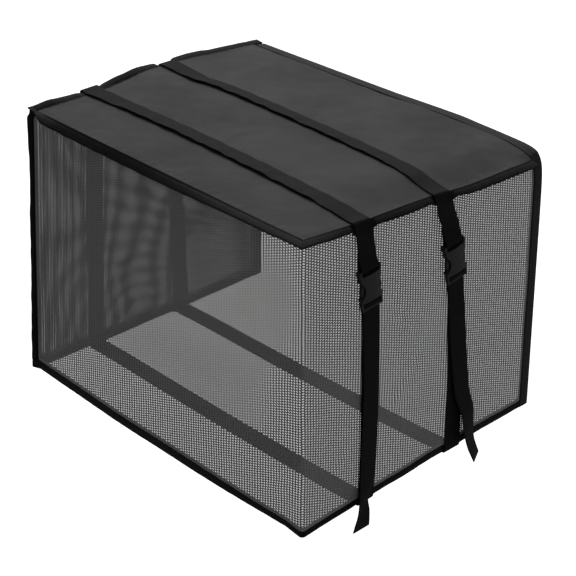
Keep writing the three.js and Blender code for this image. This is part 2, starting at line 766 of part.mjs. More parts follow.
// A webbing station: its centre and the half width vector, both on the finished cover
function coverStation(x, y, z, across) {
  const half = across.clone().multiplyScalar(WEB_WIDTH / 2);
  const centre = new THREE.Vector3(x, y, z);
  const left = soften(centre.clone().sub(half));
  const right = soften(centre.clone().add(half));
  return { centre: left.clone().lerp(right, 0.5), half: right.sub(left).setLength(WEB_WIDTH / 2) };
}

function buckleStation(frame, { down, out }) {
  const left = new THREE.Vector3(WEB_WIDTH / 2, down, out).applyMatrix4(frame);
  const right = new THREE.Vector3(-WEB_WIDTH / 2, down, out).applyMatrix4(frame);
  return { centre: left.clone().lerp(right, 0.5), half: right.sub(left).multiplyScalar(0.5) };
}

// Flat webbing through its stations
function webbing(stations) {
  const sections = stations.map(({ centre, half }, i) => {
    const before = stations[Math.max(i - 1, 0)].centre;
    const after = stations[Math.min(i + 1, stations.length - 1)].centre;
    const arriving = centre.clone().sub(before).normalize();
    const leaving = after.clone().sub(centre).normalize();
    const onward = arriving.clone().add(leaving).normalize();
    const turn = Math.max(onward.dot(i > 0 ? arriving : leaving), 0.6);
    const thick = onward.cross(half).setLength(WEB_THICK / 2 / turn);
    return [
      centre.clone().sub(half).sub(thick),
      centre.clone().sub(half).add(thick),
      centre.clone().add(half).add(thick),
      centre.clone().add(half).sub(thick),
    ];
  });
  return loft(sections);
}

// One strap: stitched end, socket, over the top, down the left wall, under the hem, up the right wall, through
// the plug's ladder and down again as the tail
function strap(spec) {
  const frame = buckleFrame(spec.buckle);
  const stations = SOCKET_LOOP.map((at) => buckleStation(frame, at)).reverse();
  const level = new THREE.Vector3(0, 1, 0);
  const topY = (x) => tableAt(spec.top, "x", "y", x);
  const topStation = (x, z) => {
    const tilt = THREE.MathUtils.degToRad(tableAt(spec.top, "x", "tilt", x));
    const raised = z + (WEB_WIDTH / 2) * Math.sin(tilt);
    return coverStation(x, topY(x), raised, new THREE.Vector3(0, Math.cos(tilt), -Math.sin(tilt)));
  };
  const rightY = (z) => tableAt(spec.right, "z", "y", z);
  const leanAt = (z) => {
    const slope = (rightY(Math.min(z + 12, 0)) - rightY(z - 12)) / (Math.min(z + 12, 0) - z + 12);
    return new THREE.Vector3(0, 1, -slope * (1 - fade(z, 30))).normalize();
  };
  for (const { out, z } of RIGHT_OVER.slice().reverse()) {
    if (out < 0) stations.push(topStation(HALF_W + out, z));
    else stations.push(coverStation(HALF_W + out, rightY(Math.min(z, 0)), z, leanAt(Math.min(z, 0))));
  }
  const topSteps = 22;
  const topFrom = HALF_W - 26;
  const topTo = -HALF_W + 16;
  for (let i = 1; i < topSteps; i += 1) {
    const x = THREE.MathUtils.lerp(topFrom, topTo, i / topSteps);
    stations.push(topStation(x, WEB_LIFT));
  }
  const leftOver = spec.leftTapeTurnedDown ? LEFT_OVER_DOWN : LEFT_OVER_FLAT;
  const leftY = (z) => {
    const low = THREE.MathUtils.clamp(-z / HEIGHT, 0, 1);
    return THREE.MathUtils.lerp(spec.left.top, spec.left.bottom, low);
  };
  for (const { out, z } of leftOver.slice().reverse())
    stations.push(out < 0 ? topStation(-HALF_W - out, z) : coverStation(-HALF_W - out, leftY(z), z, level));
  const onWall = -WALL_INSET + WEB_LIFT + WEB_THICK / 2;
  const leftDown = [
    { out: 2.6, z: -62 },
    { out: 0.4, z: -95 },
    { out: onWall, z: -130 },
    { out: onWall, z: -180 },
    { out: onWall, z: -230 },
    { out: onWall, z: -280 },
    { out: onWall, z: -330 },
    { out: onWall, z: -365 },
    { out: onWall, z: -HEIGHT + 1 },
    { out: onWall - 1.2, z: -HEIGHT - 1.2 },
    { out: onWall - 4, z: -HEIGHT - 1.6 },
  ];
  for (const { out, z } of leftDown) stations.push(coverStation(-HALF_W - out, leftY(z), z, level));
  const underSteps = 14;
  const underTo = spec.right[spec.right.length - 1].y;
  for (let i = 1; i < underSteps; i += 1) {
    const s = i / underSteps;
    const x = THREE.MathUtils.lerp(-HALF_W + 10, HALF_W - 10, s);
    const y = THREE.MathUtils.lerp(spec.left.bottom, underTo, s);
    stations.push(coverStation(x, y, -HEIGHT - 1.6 - 2.5 * Math.sin(Math.PI * s), level));
  }
  const rightUp = [
    { out: onWall - 4, z: -HEIGHT - 1.6 },
    { out: onWall - 1.2, z: -HEIGHT - 1.2 },
    { out: onWall, z: -HEIGHT + 1 },
    { out: onWall, z: -350 },
    { out: onWall, z: -310 },
    { out: onWall, z: -265 },
    { out: onWall, z: -220 },
    { out: onWall, z: -180 },
  ];
  for (const { out, z } of rightUp) {
    const y = rightY(Math.max(z, -HEIGHT));
    stations.push(coverStation(HALF_W + out, y, z, z < -HEIGHT ? level : leanAt(Math.max(z, -HEIGHT + 12))));
  }
  for (const at of LADDER_LOOP) stations.push(buckleStation(frame, at));
  const tailSteps = 16;
  const first = spec.tail[0];
  const last = spec.tail[spec.tail.length - 1];
  for (let i = 0; i <= tailSteps; i += 1) {
    const z = THREE.MathUtils.lerp(first.z, last.z, 1 - (1 - i / tailSteps) ** 1.5);
    const tail = (column) => tableAt(spec.tail, "z", column, z);
    const twist = THREE.MathUtils.degToRad(tail("twist"));
    const across = leanAt(Math.max(z, -HEIGHT + 12)).setX(-Math.tan(twist)).normalize();
    const y = rightY(Math.max(z, -HEIGHT)) + tail("aside");
    stations.push(coverStation(WALL_X + tail("out"), y, z, across));
  }
  return webbing(stations);
}

// The buckles are cut and joined from simple solids
const wasm = await Module();
wasm.setup();

function toSolid(geometry) {
  const bare = geometry.clone();
  bare.deleteAttribute("normal");
  bare.deleteAttribute("uv");
  const merged = mergeVertices(bare, 1e-4);
  return new wasm.Manifold(
    new wasm.Mesh({
      numProp: 3,
      vertProperties: merged.getAttribute("position").array,
      triVerts: Uint32Array.from(merged.getIndex().array),
    }),
  );
}

function toGeometry(solid) {
  const mesh = solid.getMesh();
  const geometry = new THREE.BufferGeometry();
  geometry.setAttribute("position", new THREE.BufferAttribute(mesh.vertProperties, 3));
  geometry.setIndex(new THREE.BufferAttribute(mesh.triVerts, 1));
  return geometry;
}

// An outline given by its half widths down the buckle, extruded from one height off the wall to another
function outlined(rows, from, to) {
  const shape = new THREE.Shape();
  const last = rows.length - 1;
  shape.moveTo(rows[0].half, rows[0].down);
  for (let i = 1; i <= last; i += 1) shape.lineTo(rows[i].half, rows[i].down);
  for (let i = last; i >= 0; i -= 1) shape.lineTo(-rows[i].half, rows[i].down);
  const slab = new THREE.ExtrudeGeometry(shape, { depth: to - from, bevelEnabled: false });
  return toSolid(slab.translate(0, 0, from));
}

function block(across, down, out) {
  const box = new THREE.BoxGeometry(across[1] - across[0], down[1] - down[0], out[1] - out[0]);
  box.translate((across[0] + across[1]) / 2, (down[0] + down[1]) / 2, (out[0] + out[1]) / 2);
  return toSolid(box);
}

// A round bar along the buckle's length, for the crowned front and the side windows
function bar(radius, across, out, from, to, sides) {
  const turned = new THREE.CylinderGeometry(radius, radius, to - from, sides);
  turned.translate(across, (from + to) / 2, out);
  return toSolid(turned);
}

function post(radius, across, down, from, to, sides) {
  const turned = new THREE.CylinderGeometry(radius, radius, to - from, sides);
  turned.rotateX(Math.PI / 2).translate(across, down, (from + to) / 2);
  return toSolid(turned);
}

// Sizes in the buckle's frame: down from its middle, out from the wall, across from its middle line
const BUCKLE = {
  back: 2.2,
  front: 11,
  crown: 90,
  reach: 40,
  plate: [4.1, 8.1],
  cavity: { across: 14.6, down: [-13, 20], out: [3.8, 8.4] },
  mouth: 11.6,
  window: { across: 24.2, down: -2, radius: 13.6 },
  through: [0, 20],
  bar: { slot: [-25, -21], recess: [-40, -24.9], front: [7.4, 20], back: [0, 4.2] },
  shoulder: [2.6, 10],
  ladder: [3.6, 8.4],
  guide: { across: [-3, 3], down: [-9, 13] },
};
const SOCKET_OUTLINE = [
  { down: -28.8, half: 16.2 },
  { down: -27.8, half: 17.3 },
  { down: -22.5, half: 17.3 },
  { down: -19.5, half: 15.9 },
  { down: -13, half: 16 },
  { down: 0, half: 17 },
  { down: 7, half: 17.4 },
  { down: BUCKLE.mouth, half: 17 },
];
const SHOULDER_OUTLINE = [
  { down: BUCKLE.mouth + GAP, half: 16.9 },
  { down: 14.4, half: 16.7 },
  { down: 15.4, half: 16.2 },
];
const LADDER_OUTLINE = [
  { down: 15, half: 16.4 },
  { down: 22, half: 16.4 },
  { down: 25.6, half: 16.2 },
  { down: 26.6, half: 15.4 },
];
// What is cut from the ladder across its whole slot: the two slots, then the steps that leave the webbing room
const LADDER_CUTS = [
  { down: [15.4, 18.8], out: [0, 20] },
  { down: [21.3, 24.4], out: [0, 20] },
  { down: [15.4, 24.4], out: [7.4, 20] },
  { down: [15.4, 40], out: [0, 4.6] },
  { down: [24.3, 40], out: [7.4, 20] },
];
const PRONG = [
  { across: 14, down: 13 },
  { across: 14, down: 8.5 },
  { across: 15.4, down: 5 },
  { across: 16.4, down: 1 },
  { across: 16.2, down: -4 },
  { across: 14.6, down: -8.2 },
  { across: 12, down: -11 },
  { across: 9, down: -11.8 },
  { across: 9.8, down: -6 },
  { across: 11.2, down: -1 },
  { across: 11.2, down: 6 },
  { across: 10.6, down: 13 },
];

// A block as wide as the slot for the webbing
function slotBlock(down, out) {
  return block([-BUCKLE_SLOT / 2, BUCKLE_SLOT / 2], down, out);
}

// The crowned front of both halves, as the round bar that they are cut to
function crowned(front) {
  return bar(BUCKLE.crown, 0, front - BUCKLE.crown, -BUCKLE.reach, BUCKLE.reach, 96);
}

// The upper half: a crowned shell with a bar for the webbing, a window in each side and a mouth below
function buckleSocket() {
  const { cavity, bar: webBar, window: sideWindow } = BUCKLE;
  let solid = outlined(SOCKET_OUTLINE, BUCKLE.back, BUCKLE.front)
    .intersect(crowned(BUCKLE.front))
    .subtract(slotBlock(webBar.slot, BUCKLE.through))
    .subtract(slotBlock(webBar.recess, webBar.front))
    .subtract(slotBlock(webBar.recess, webBar.back))
    .subtract(block([-cavity.across, cavity.across], cavity.down, cavity.out));
  for (const side of [-1, 1]) {
    const { across, down, radius } = sideWindow;
    solid = solid.subtract(post(radius, side * across, down, ...BUCKLE.through, 40));
  }
  return toGeometry(solid);
}

// The lower half: prongs whose pads fill the side windows, a guide between them, a shoulder and a ladder
function bucklePlug() {
  let solid = outlined(SHOULDER_OUTLINE, ...BUCKLE.shoulder)
    .add(outlined(LADDER_OUTLINE, ...BUCKLE.ladder))
    .intersect(crowned(BUCKLE.shoulder[1]));
  for (const cut of LADDER_CUTS) solid = solid.subtract(slotBlock(cut.down, cut.out));
  const outline = new THREE.Shape(PRONG.map(({ across, down }) => new THREE.Vector2(across, down)));
  const depth = BUCKLE.plate[1] - BUCKLE.plate[0];
  const slab = new THREE.ExtrudeGeometry(outline, { depth, bevelEnabled: false });
  const prong = toSolid(slab.translate(0, 0, BUCKLE.plate[0]));
  solid = solid.add(block(BUCKLE.guide.across, BUCKLE.guide.down, BUCKLE.plate));
  solid = solid.add(prong).add(prong.mirror([1, 0, 0]));
  return toGeometry(solid);
}

const FINISH = {
  oxford: new THREE.MeshStandardMaterial({ color: 0x3a3a3c, roughness: 0.62, metalness: 0 }),
  mesh: new THREE.MeshStandardMaterial({ color: 0x2a2a2b, roughness: 0.7, metalness: 0 }),
  tape: new THREE.MeshStandardMaterial({ color: 0x101011, roughness: 0.85, metalness: 0 }),
  webbing: new THREE.MeshStandardMaterial({ color: 0x131314, roughness: 0.8, metalness: 0 }),
  plastic: new THREE.MeshStandardMaterial({ color: 0x18181b, roughness: 0.35, metalness: 0 }),
};

const cover = new THREE.Group();

function place(name, geometry, material, matrix) {
  const mesh = new THREE.Mesh(geometry, material);
  mesh.name = name;
  if (matrix) mesh.applyMatrix4(matrix);
  cover.add(mesh);
}

const leftOpen = turnAtY(HALF_D - EDGE_TAPE - GAP, -1);
const rightOpen = turnAtY(HALF_D - EDGE_TAPE - GAP, 1);
const leftFront = 1 - (MESH_SHEET + GAP) / (2 * WALL_Y);
const wrapStart = 1 + 0.6 / (2 * WALL_X);

place("top_panel", topPanel(), FINISH.oxford);
place("mesh_wrap", meshWall(wrapStart, rightOpen, 40, 12), FINISH.mesh);
place("mesh_left", meshWall(leftOpen, leftFront, 16, 12), FINISH.mesh);
for (const [name, geometry] of Object.entries(topSeamTapes())) place(name, geometry, FINISH.tape);
place("seam_tape_corner", cornerTape(), FINISH.tape);
place("hem_tape", hemTape(leftOpen, rightOpen), FINISH.tape);
place("opening_tape", openingTape(), FINISH.tape);
for (const spec of STRAPS) {
  place(`strap_${spec.name}`, strap(spec), FINISH.webbing);
  const frame = buckleFrame(spec.buckle);
  place(`buckle_${spec.name}_socket`, buckleSocket(), FINISH.plastic, frame);
  place(`buckle_${spec.name}_plug`, bucklePlug(), FINISH.plastic, frame);
}

export default cover;
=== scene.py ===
# %% [markdown]
# # A fitted mesh cover with webbing straps
# The cover is a box of cloth, open below and on one side. Its top is coated plain weave cloth, its sides are
# black net, folded tape binds every seam and edge, and two webbing straps with side release buckles go right
# round it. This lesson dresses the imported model: each soft solid is replaced by a finer piece of the same shape,
# and the moulded buckles keep their solids and get rounded edges and a better material.

# %% Load the frame
import math

import bpy
import numpy as np
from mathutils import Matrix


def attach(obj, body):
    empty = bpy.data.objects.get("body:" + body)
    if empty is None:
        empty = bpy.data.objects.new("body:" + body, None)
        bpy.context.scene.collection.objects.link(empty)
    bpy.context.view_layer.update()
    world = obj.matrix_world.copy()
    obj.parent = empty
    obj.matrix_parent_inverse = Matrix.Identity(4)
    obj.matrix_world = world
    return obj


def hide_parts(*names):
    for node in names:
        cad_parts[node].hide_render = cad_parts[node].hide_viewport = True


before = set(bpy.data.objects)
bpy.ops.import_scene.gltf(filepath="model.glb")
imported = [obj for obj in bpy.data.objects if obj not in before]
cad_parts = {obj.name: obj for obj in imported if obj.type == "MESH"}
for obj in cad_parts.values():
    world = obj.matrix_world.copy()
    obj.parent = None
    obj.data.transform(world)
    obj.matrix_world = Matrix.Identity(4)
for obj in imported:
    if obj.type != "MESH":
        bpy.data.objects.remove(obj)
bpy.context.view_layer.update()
MM = 0.001
print("nodes in the frame:", ", ".join(sorted(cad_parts)))

# %% [markdown]
# ## The camera
# A long lens from a little above, turned so that the outdoor face is on the left and the buckle side on the
# right. The distance and the lens were found by laying the corners of the model over the picture, so they are
# given as numbers. The aim is the middle of the body, moved a little sideways and down to frame the hanging
# straps.

# %% Place the camera
VIEW_TURN, VIEW_RISE = math.radians(47.7), math.radians(27.6)
VIEW_DISTANCE, VIEW_AIM_Z = 2.714, -0.1885
VIEW_RIGHT, VIEW_UP = 0.0124, -0.0315
LENS_PIXELS, PICTURE_PIXELS, SENSOR = 2076, 576, 36
CLIP_END = 60


def pose(thing, right, up, back, place):
    """Turns a thing to three axes and puts it at its place."""
    turned = np.eye(4)
    turned[:3, 0], turned[:3, 1], turned[:3, 2], turned[:3, 3] = right, up, back, place
    thing.matrix_world = turned.T.tolist()


def place_camera():
    """The camera looks at the aim along the line that its turn and rise give."""
    back = np.array(
        [
            math.sin(VIEW_TURN) * math.cos(VIEW_RISE),
            -math.cos(VIEW_TURN) * math.cos(VIEW_RISE),
            math.sin(VIEW_RISE),
        ]
    )
    right = np.array([math.cos(VIEW_TURN), math.sin(VIEW_TURN), 0.0])
    up = np.cross(back, right)
    data = bpy.data.cameras.new("camera")
    data.sensor_width = SENSOR
    data.lens = LENS_PIXELS / PICTURE_PIXELS * SENSOR
    data.clip_end = CLIP_END
    camera = bpy.data.objects.new("camera", data)
    place = np.array([0, 0, VIEW_AIM_Z]) + back * VIEW_DISTANCE + right * VIEW_RIGHT + up * VIEW_UP
    pose(camera, right, up, back, place)
    bpy.context.scene.collection.objects.link(camera)
    bpy.context.scene.camera = camera
    return camera


camera = place_camera()
print("camera lens in mm:", round(camera.data.lens, 2))

# %% [markdown]
# ## Floor and light
# Black cloth keeps its depth only when the light on its sides is weak. A large soft lamp stands high behind the
# cover, so the top and everything flat on it gets a dull sheen toward the viewer. A weak lamp stands on the buckle
# side, and the walls get little more than what the room and the floor send back. The cover hangs, so the floor
# lies well below it. Floor and room look white to the viewer, but send back less light than white paint would.

# %% Make the floor and the lights
FLOOR_Z, FLOOR_HALF = -0.68, 9.0
FLOOR_PAINT, FLOOR_GLOW = 0.5, 1.0
ROOM_LIGHT, ROOM_WHITE = 0.24, 1.0
LAMPS = [
    {"name": "lamp_behind", "at": (-1.5, 1.2, 2.0), "size": 2.4, "power": 44},
    {"name": "lamp_side", "at": (2.4, -1.2, 0.9), "size": 1.0, "power": 3},
]
LAMP_AIM = (0, 0, -0.15)
# how many layers of net a ray may pass
NET_LAYERS = 24


def make_floor():
    """One pale plane, well below the hem. What it sends to the viewer is topped up to white."""
    mesh = bpy.data.meshes.new("floor")
    h = FLOOR_HALF
    corners = [(x, y, FLOOR_Z) for x, y in ((-h, -h), (h, -h), (h, h), (-h, h))]
    mesh.from_pydata(corners, [], [(0, 1, 2, 3)])
    floor = bpy.data.objects.new("floor", mesh)
    bpy.context.scene.collection.objects.link(floor)
    paint = bpy.data.materials.new("pale floor")
    paint.use_nodes = True
    tree = paint.node_tree
    shader = tree.nodes["Principled BSDF"]
    shader.inputs["Base Color"].default_value = (FLOOR_PAINT, FLOOR_PAINT, FLOOR_PAINT, 1)
    shader.inputs["Roughness"].default_value = 0.9
    shader.inputs["Specular IOR Level"].default_value = 0.1
    shader.inputs["Emission Color"].default_value = (1, 1, 1, 1)
    ray = tree.nodes.new("ShaderNodeLightPath")
    glow = tree.nodes.new("ShaderNodeMath")
    glow.operation = "MULTIPLY"
    glow.inputs[1].default_value = FLOOR_GLOW
    tree.links.new(ray.outputs["Is Camera Ray"], glow.inputs[0])
    tree.links.new(glow.outputs[0], shader.inputs["Emission Strength"])
    mesh.materials.append(paint)
    return floor


def aim_lamp(lamp, at, target):
    """Turns a lamp so that it shines from its place to the target."""
    z = np.array(at, float) - np.array(target, float)
    z /= np.linalg.norm(z)
    x = np.cross([0, 0, 1], z)
    x /= np.linalg.norm(x)
    pose(lamp, x, np.cross(z, x), z, at)


def make_lights():
    """The world and the lamps."""
    world = bpy.data.worlds.new("studio")
    world.use_nodes = True
    tree = world.node_tree
    sky = tree.nodes["Background"]
    sky.inputs["Color"].default_value = (1, 1, 1, 1)
    ray = tree.nodes.new("ShaderNodeLightPath")
    level = tree.nodes.new("ShaderNodeMapRange")
    level.inputs["To Min"].default_value = ROOM_LIGHT
    level.inputs["To Max"].default_value = ROOM_WHITE
    tree.links.new(ray.outputs["Is Camera Ray"], level.inputs["Value"])
    tree.links.new(level.outputs[0], sky.inputs["Strength"])
    bpy.context.scene.world = world
    for spec in LAMPS:
        data = bpy.data.lights.new(spec["name"], "AREA")
        data.size, data.energy = spec["size"], spec["power"]
        lamp = bpy.data.objects.new(spec["name"], data)
        lamp.visible_camera = False
        bpy.context.scene.collection.objects.link(lamp)
        aim_lamp(lamp, spec["at"], LAMP_AIM)


make_floor()
make_lights()
bpy.context.scene.view_settings.view_transform = "Standard"
bpy.context.scene.cycles.transparent_max_bounces = NET_LAYERS
print("floor at", FLOOR_Z, "m, lamps:", len(LAMPS))

# %% [markdown]
# ## The shape of the soft box
# All pieces are first placed on a true box and then moved by one rule, `soften`, so that neighbours keep their
# distance. The rule shifts the eight corners, bows the top's left edge, dips the right edge, puffs the top up
# between the straps, rolls one corner over and swells the walls. Its numbers come from the same measures as the
# solids, in millimetres.

# %% Sizes and tables of the soft box
WIDTH, DEPTH, HEIGHT = 530.0, 402.0, 377.0
HALF_W, HALF_D = WIDTH / 2, DEPTH / 2
TOP_SHEET, MESH_SHEET, GAP, WALL_INSET = 1.5, 1.2, 0.35, 2.0
WALL_X, WALL_Y = HALF_W - WALL_INSET, HALF_D - WALL_INSET
CORNER_RADIUS = 5.0
SOFT_HALF = CORNER_RADIUS * math.pi / 4
FRONT_RUN = 2 * WALL_X - CORNER_RADIUS + SOFT_HALF
SIDE_RUN = 2 * WALL_Y - CORNER_RADIUS + SOFT_HALF
TAPE_TIP = 0.6
EDGE_TAPE, EDGE_THICK, EDGE_TURN = 16.0, 2.8, 5.0
WEB_WIDTH, WEB_THICK, WEB_LIFT = 27.5, 1.4, 1.2

# right, open, low say which corner; then how far it is moved
CORNERS = [
    ((1, 0, 0), (-2.4, 2.2, 6.6)),
    ((0, 0, 0), (8.2, 12.4, 1)),
    ((0, 1, 0), (6, 1.7, -5.6)),
    ((1, 1, 0), (4.5, 2.3, 3)),
    ((1, 0, 1), (4.8, -4.9, -14.5)),
    ((0, 0, 1), (-4, -5.6, -1.2)),
    ((1, 1, 1), (-1.9, 6.1, 10)),
    ((0, 1, 1), (-4, 3, 5)),
]
BOW_RISE = [
    (0, 0), (0.26, 1.5), (0.38, 4.5), (0.48, 7.2), (0.53, 6.4), (0.6, 6.4), (0.65, 5), (0.7, 4.6),
    (0.8, 2.4), (0.9, 1.8), (1, 0),
]  # fmt: skip
BOW_OUT = [
    (0, 0), (0.26, 0), (0.38, 2), (0.48, 6.5), (0.53, 8.6), (0.6, 10), (0.65, 9.4), (0.7, 8.5),
    (0.8, 6), (0.9, 3), (1, 0),
]  # fmt: skip
BOW_REACH, BOW_DEPTH = 75, HEIGHT * 0.7
DIP = [(0, 1), (0.22, -3), (0.5, -4.8), (0.68, -9.5), (0.86, -8.4), (0.95, -5), (1, 0)]
DIP_REACH, DIP_DEPTH = 60, HEIGHT * 0.6
BACK_BOW = [
    (0, 0), (0.5, 0.3), (0.56, 1), (0.66, 2.1), (0.73, 2.5), (0.79, 1.2), (0.83, 0.6), (0.89, -0.6),
    (0.96, -1.4), (1, -2.2),
]  # fmt: skip
BACK_BOW_REACH = 70
PUFF = [
    (0, 0), (0.5, 1.6), (0.84, 1.8), (1, 0), (1.3, 1.4), (1.7, 4.6), (1.87, 4.8), (2, 2.4), (2.14, 0.4),
    (2.5, 1.2), (3, 0),
]  # fmt: skip
PUFF_REACH = 90
ROLL = {"x": 9, "z": 8.6, "reach": 15, "from": 60}
SPREAD = {"out": 7.5, "depth": 10, "reach": 60}
WALLS = {
    "front": {"swell": 2.5, "fold": 0.9, "folds": 3.2, "phase": 0.4, "hem": -3.2},
    "right": {"swell": 1.5, "fold": 1.7, "folds": 4.3, "phase": 1.1, "hem": 3},
    "left": {"swell": 2, "fold": 1.6, "folds": 3.6, "phase": 2.3, "hem": -2},
}
WALL_REACH = 70
# how far a fold turns from top to hem, and how much of it is left at the hem
FOLD_LEAN, FOLD_LEFT = 1.3, 0.35
FRONT_HEM = [
    (0, 0), (0.08, -1), (0.2, -1.5), (0.38, -2.1), (0.55, -1), (0.72, -0.5), (0.8, 0.7), (0.9, 2.8),
    (0.94, 3.3), (0.985, 0.3), (1, 0),
]  # fmt: skip
HEM_FACE = [(0, 12), (1, 12.5), (1.6, 12.5), (1.9, 8.5), (2, 8), (2.15, 8.5), (2.7, 11), (3, 10)]

# The straps' lines: over the top by x, down the right wall by z, and the left wall's ends
STRAPS = [
    {
        "name": "1",
        "top_y": [(-HALF_W, -104), (-200, -101.5), (-100, -100), (50, -103.5), (170, -109), (HALF_W, -113)],
        "tilt": [(-HALF_W, 3), (-200, 5), (-100, 6.5), (50, 6), (170, 4.5), (HALF_W, 0)],
        "right_y": [(-HEIGHT, -95), (-300, -94), (-137, -94.5), (-85, -100), (-30, -107.5), (0, -113)],
        "left": (-104, -98),
        "left_down": False,
        "buckle": {"y": -100, "z": -85, "lean": 7},
        "tail": [
            (-150, 3.7, 0, 0), (-230, 4.6, 0.6, 1), (-310, 4.4, -0.6, -1), (-350, 4.6, -1.5, 3),
            (-366, 6, -5.5, 14), (-376, 7.6, -9.5, 20), (-386, 8.8, -10.5, 12), (-394, 9.4, -12, 5),
            (-401, 9.2, -13.5, 0), (-408, 8, -13, -3),
        ],  # fmt: skip
    },
    {
        "name": "2",
        "top_y": [(-HALF_W, 33), (-215, 32.5), (-150, 38), (0, 35), (150, 28), (HALF_W, 17)],
        "tilt": [(-HALF_W, 2), (-215, 5), (-150, 6.5), (0, 5.5), (150, 4.5), (HALF_W, 0)],
        "right_y": [(-HEIGHT, 56.3), (-300, 55.8), (-150, 49), (-96.5, 41.7), (-30, 25), (0, 17)],
        "left": (33, 52),
        "left_down": True,
        "buckle": {"y": 41.7, "z": -96.5, "lean": 9.5},
        "tail": [
            (-160, 3.7, 0, 0), (-230, 4.4, 3, 1), (-297, 5.2, 10.5, 3), (-330, 7.4, 20.5, 9),
            (-358, 9.4, 22.5, 18), (-375, 11.5, 24.5, 24), (-392, 14.5, 29.5, 28), (-399.5, 15.7, 32, 29.5),
        ],  # fmt: skip
    },
]
print("true box in mm:", WIDTH, DEPTH, HEIGHT)

# %% Read a smooth curve from a table


def cubic(t, first, last, leaving, arriving):
    """A smooth step from the first value to the last at t, with its slopes over the span at both ends."""
    t2, t3 = t * t, t * t * t
    ends = first * (2 * t3 - 3 * t2 + 1) + last * (3 * t2 - 2 * t3)
    return ends + (leaving * (t3 - 2 * t2 + t) + arriving * (t3 - t2))


def read(table, at, column=1):
    """A smooth curve through the table's rows, at one place or many. It never overshoots a row."""
    rows = sorted(table)
    place = np.array([r[0] for r in rows], float)
    value = np.array([r[column] for r in rows], float)
    slope = np.diff(value) / np.diff(place)
    product, total = slope[:-1] * slope[1:], slope[:-1] + slope[1:]
    inner = np.where(product > 0, 2 * product / np.where(product > 0, total, 1), 0)
    knots = np.concatenate([[slope[0]], inner, [slope[-1]]])
    at = np.clip(np.asarray(at, float), place[0], place[-1])
    i = np.clip(np.searchsorted(place, at, side="right") - 1, 0, len(place) - 2)
    span = place[i + 1] - place[i]
    return cubic((at - place[i]) / span, value[i], value[i + 1], span * knots[i], span * knots[i + 1])


def fade(distance, reach):
    """1 at no distance, falling smoothly to 0 at the reach."""
    t = np.clip(np.abs(distance) / reach, 0, 1)
    return 1 - t * t * (3 - 2 * t)


print("puff just before the second strap:", round(float(read(PUFF, 1.87)), 2), "mm")

# %% Bend a point of the true box to its place


def lane_edges(x):
    """The y of the outdoor edge, the two straps' middles and the open edge, at x."""
    x = np.clip(x, -HALF_W, HALF_W)
    flat = np.full(np.shape(x), HALF_D)
    return np.stack([-flat, *[read(s["top_y"], x) for s in STRAPS], flat])


def lane_at(x, y):
    """Which lane of the top a point is in, from 0 at the outdoor edge to 3 at the open edge."""
    edges = lane_edges(x)
    y = np.clip(y, edges[0], edges[3])
    lane = (y >= edges[1]).astype(int) + (y >= edges[2])
    low = np.take_along_axis(edges, lane[None], 0)[0]
    high = np.take_along_axis(edges, lane[None] + 1, 0)[0]
    return lane + (y - low) / (high - low)


def wall_shift(wall, along, low):
    """How far a wall moves a point outward, and its hem up or down."""
    middle = np.sin(np.pi * np.clip(along, 0, 1))
    height = np.sin(np.pi * np.clip(low, 0, 1))
    fold = np.sin(2 * np.pi * wall["folds"] * along + wall["phase"] + FOLD_LEAN * low)
    deep = FOLD_LEFT + (1 - FOLD_LEFT) * height
    out = middle * height * wall["swell"] + middle * deep * low * wall["fold"] * fold
    return out, middle * np.maximum(low, 0) ** 2 * wall["hem"]


def soften(points):
    """Moves points of the true box, in mm, to their places on the soft cover."""
    p = np.asarray(points, float).reshape(-1, 3)
    x, y, z = p.T
    right, opened, low = x / WIDTH + 0.5, y / DEPTH + 0.5, -z / HEIGHT
    moved = p.copy()
    for (is_right, is_open, is_low), shift in CORNERS:
        share = (right if is_right else 1 - right) * (opened if is_open else 1 - opened)
        share = share * (low if is_low else 1 - low)
        moved += share[:, None] * np.array(shift, float)
    along, depth = np.clip(opened, 0, 1), np.maximum(-z, 0)
    in_left = fade(np.maximum(x + HALF_W, 0), BOW_REACH)
    moved[:, 2] += read(BOW_RISE, along) * in_left * fade(depth, HEIGHT)
    moved[:, 0] -= read(BOW_OUT, along) * in_left * fade(depth, BOW_DEPTH)
    in_right = fade(np.maximum(HALF_W - x, 0), DIP_REACH)
    moved[:, 2] += read(DIP, along) * in_right * fade(depth, DIP_DEPTH)
    in_back = fade(np.maximum(HALF_D - y, 0), BACK_BOW_REACH) * fade(depth, BACK_BOW_REACH)
    moved[:, 2] += read(BACK_BOW, np.clip(right, 0, 1)) * in_back
    inward = np.maximum(HALF_W - np.abs(x), 0)
    moved[:, 2] += read(PUFF, lane_at(x, y)) * (1 - fade(inward, PUFF_REACH)) * fade(depth, PUFF_REACH)
    from_edge = np.hypot(np.maximum(HALF_W - x, 0), depth)
    roll = np.exp(-from_edge / ROLL["reach"]) * fade(np.maximum(HALF_D - y, 0), ROLL["from"])
    moved[:, 0] -= ROLL["x"] * roll
    moved[:, 2] -= ROLL["z"] * roll
    reach = SPREAD["reach"]
    spread = fade(np.maximum(x + HALF_W, 0), reach) * fade(np.maximum(y + HALF_D, 0), reach)
    spread *= SPREAD["out"] * math.sqrt(0.5) * (1 - fade(depth, SPREAD["depth"]))
    spread *= np.maximum(1 - depth / HEIGHT, 0)
    moved[:, :2] -= spread[:, None]
    for wall, axis, sign, distance, place in (
        ("front", 1, -1, y + HALF_D, right),
        ("right", 0, 1, HALF_W - x, opened),
        ("left", 0, -1, x + HALF_W, opened),
    ):
        near = fade(np.maximum(distance, 0), WALL_REACH)
        out, rise = wall_shift(WALLS[wall], place, low)
        moved[:, axis] += sign * out * near
        if wall == "front":
            rise = rise + read(FRONT_HEM, np.clip(right, 0, 1)) * np.maximum(low, 0) ** 2
        moved[:, 2] += rise * near
    return moved.reshape(np.shape(points))


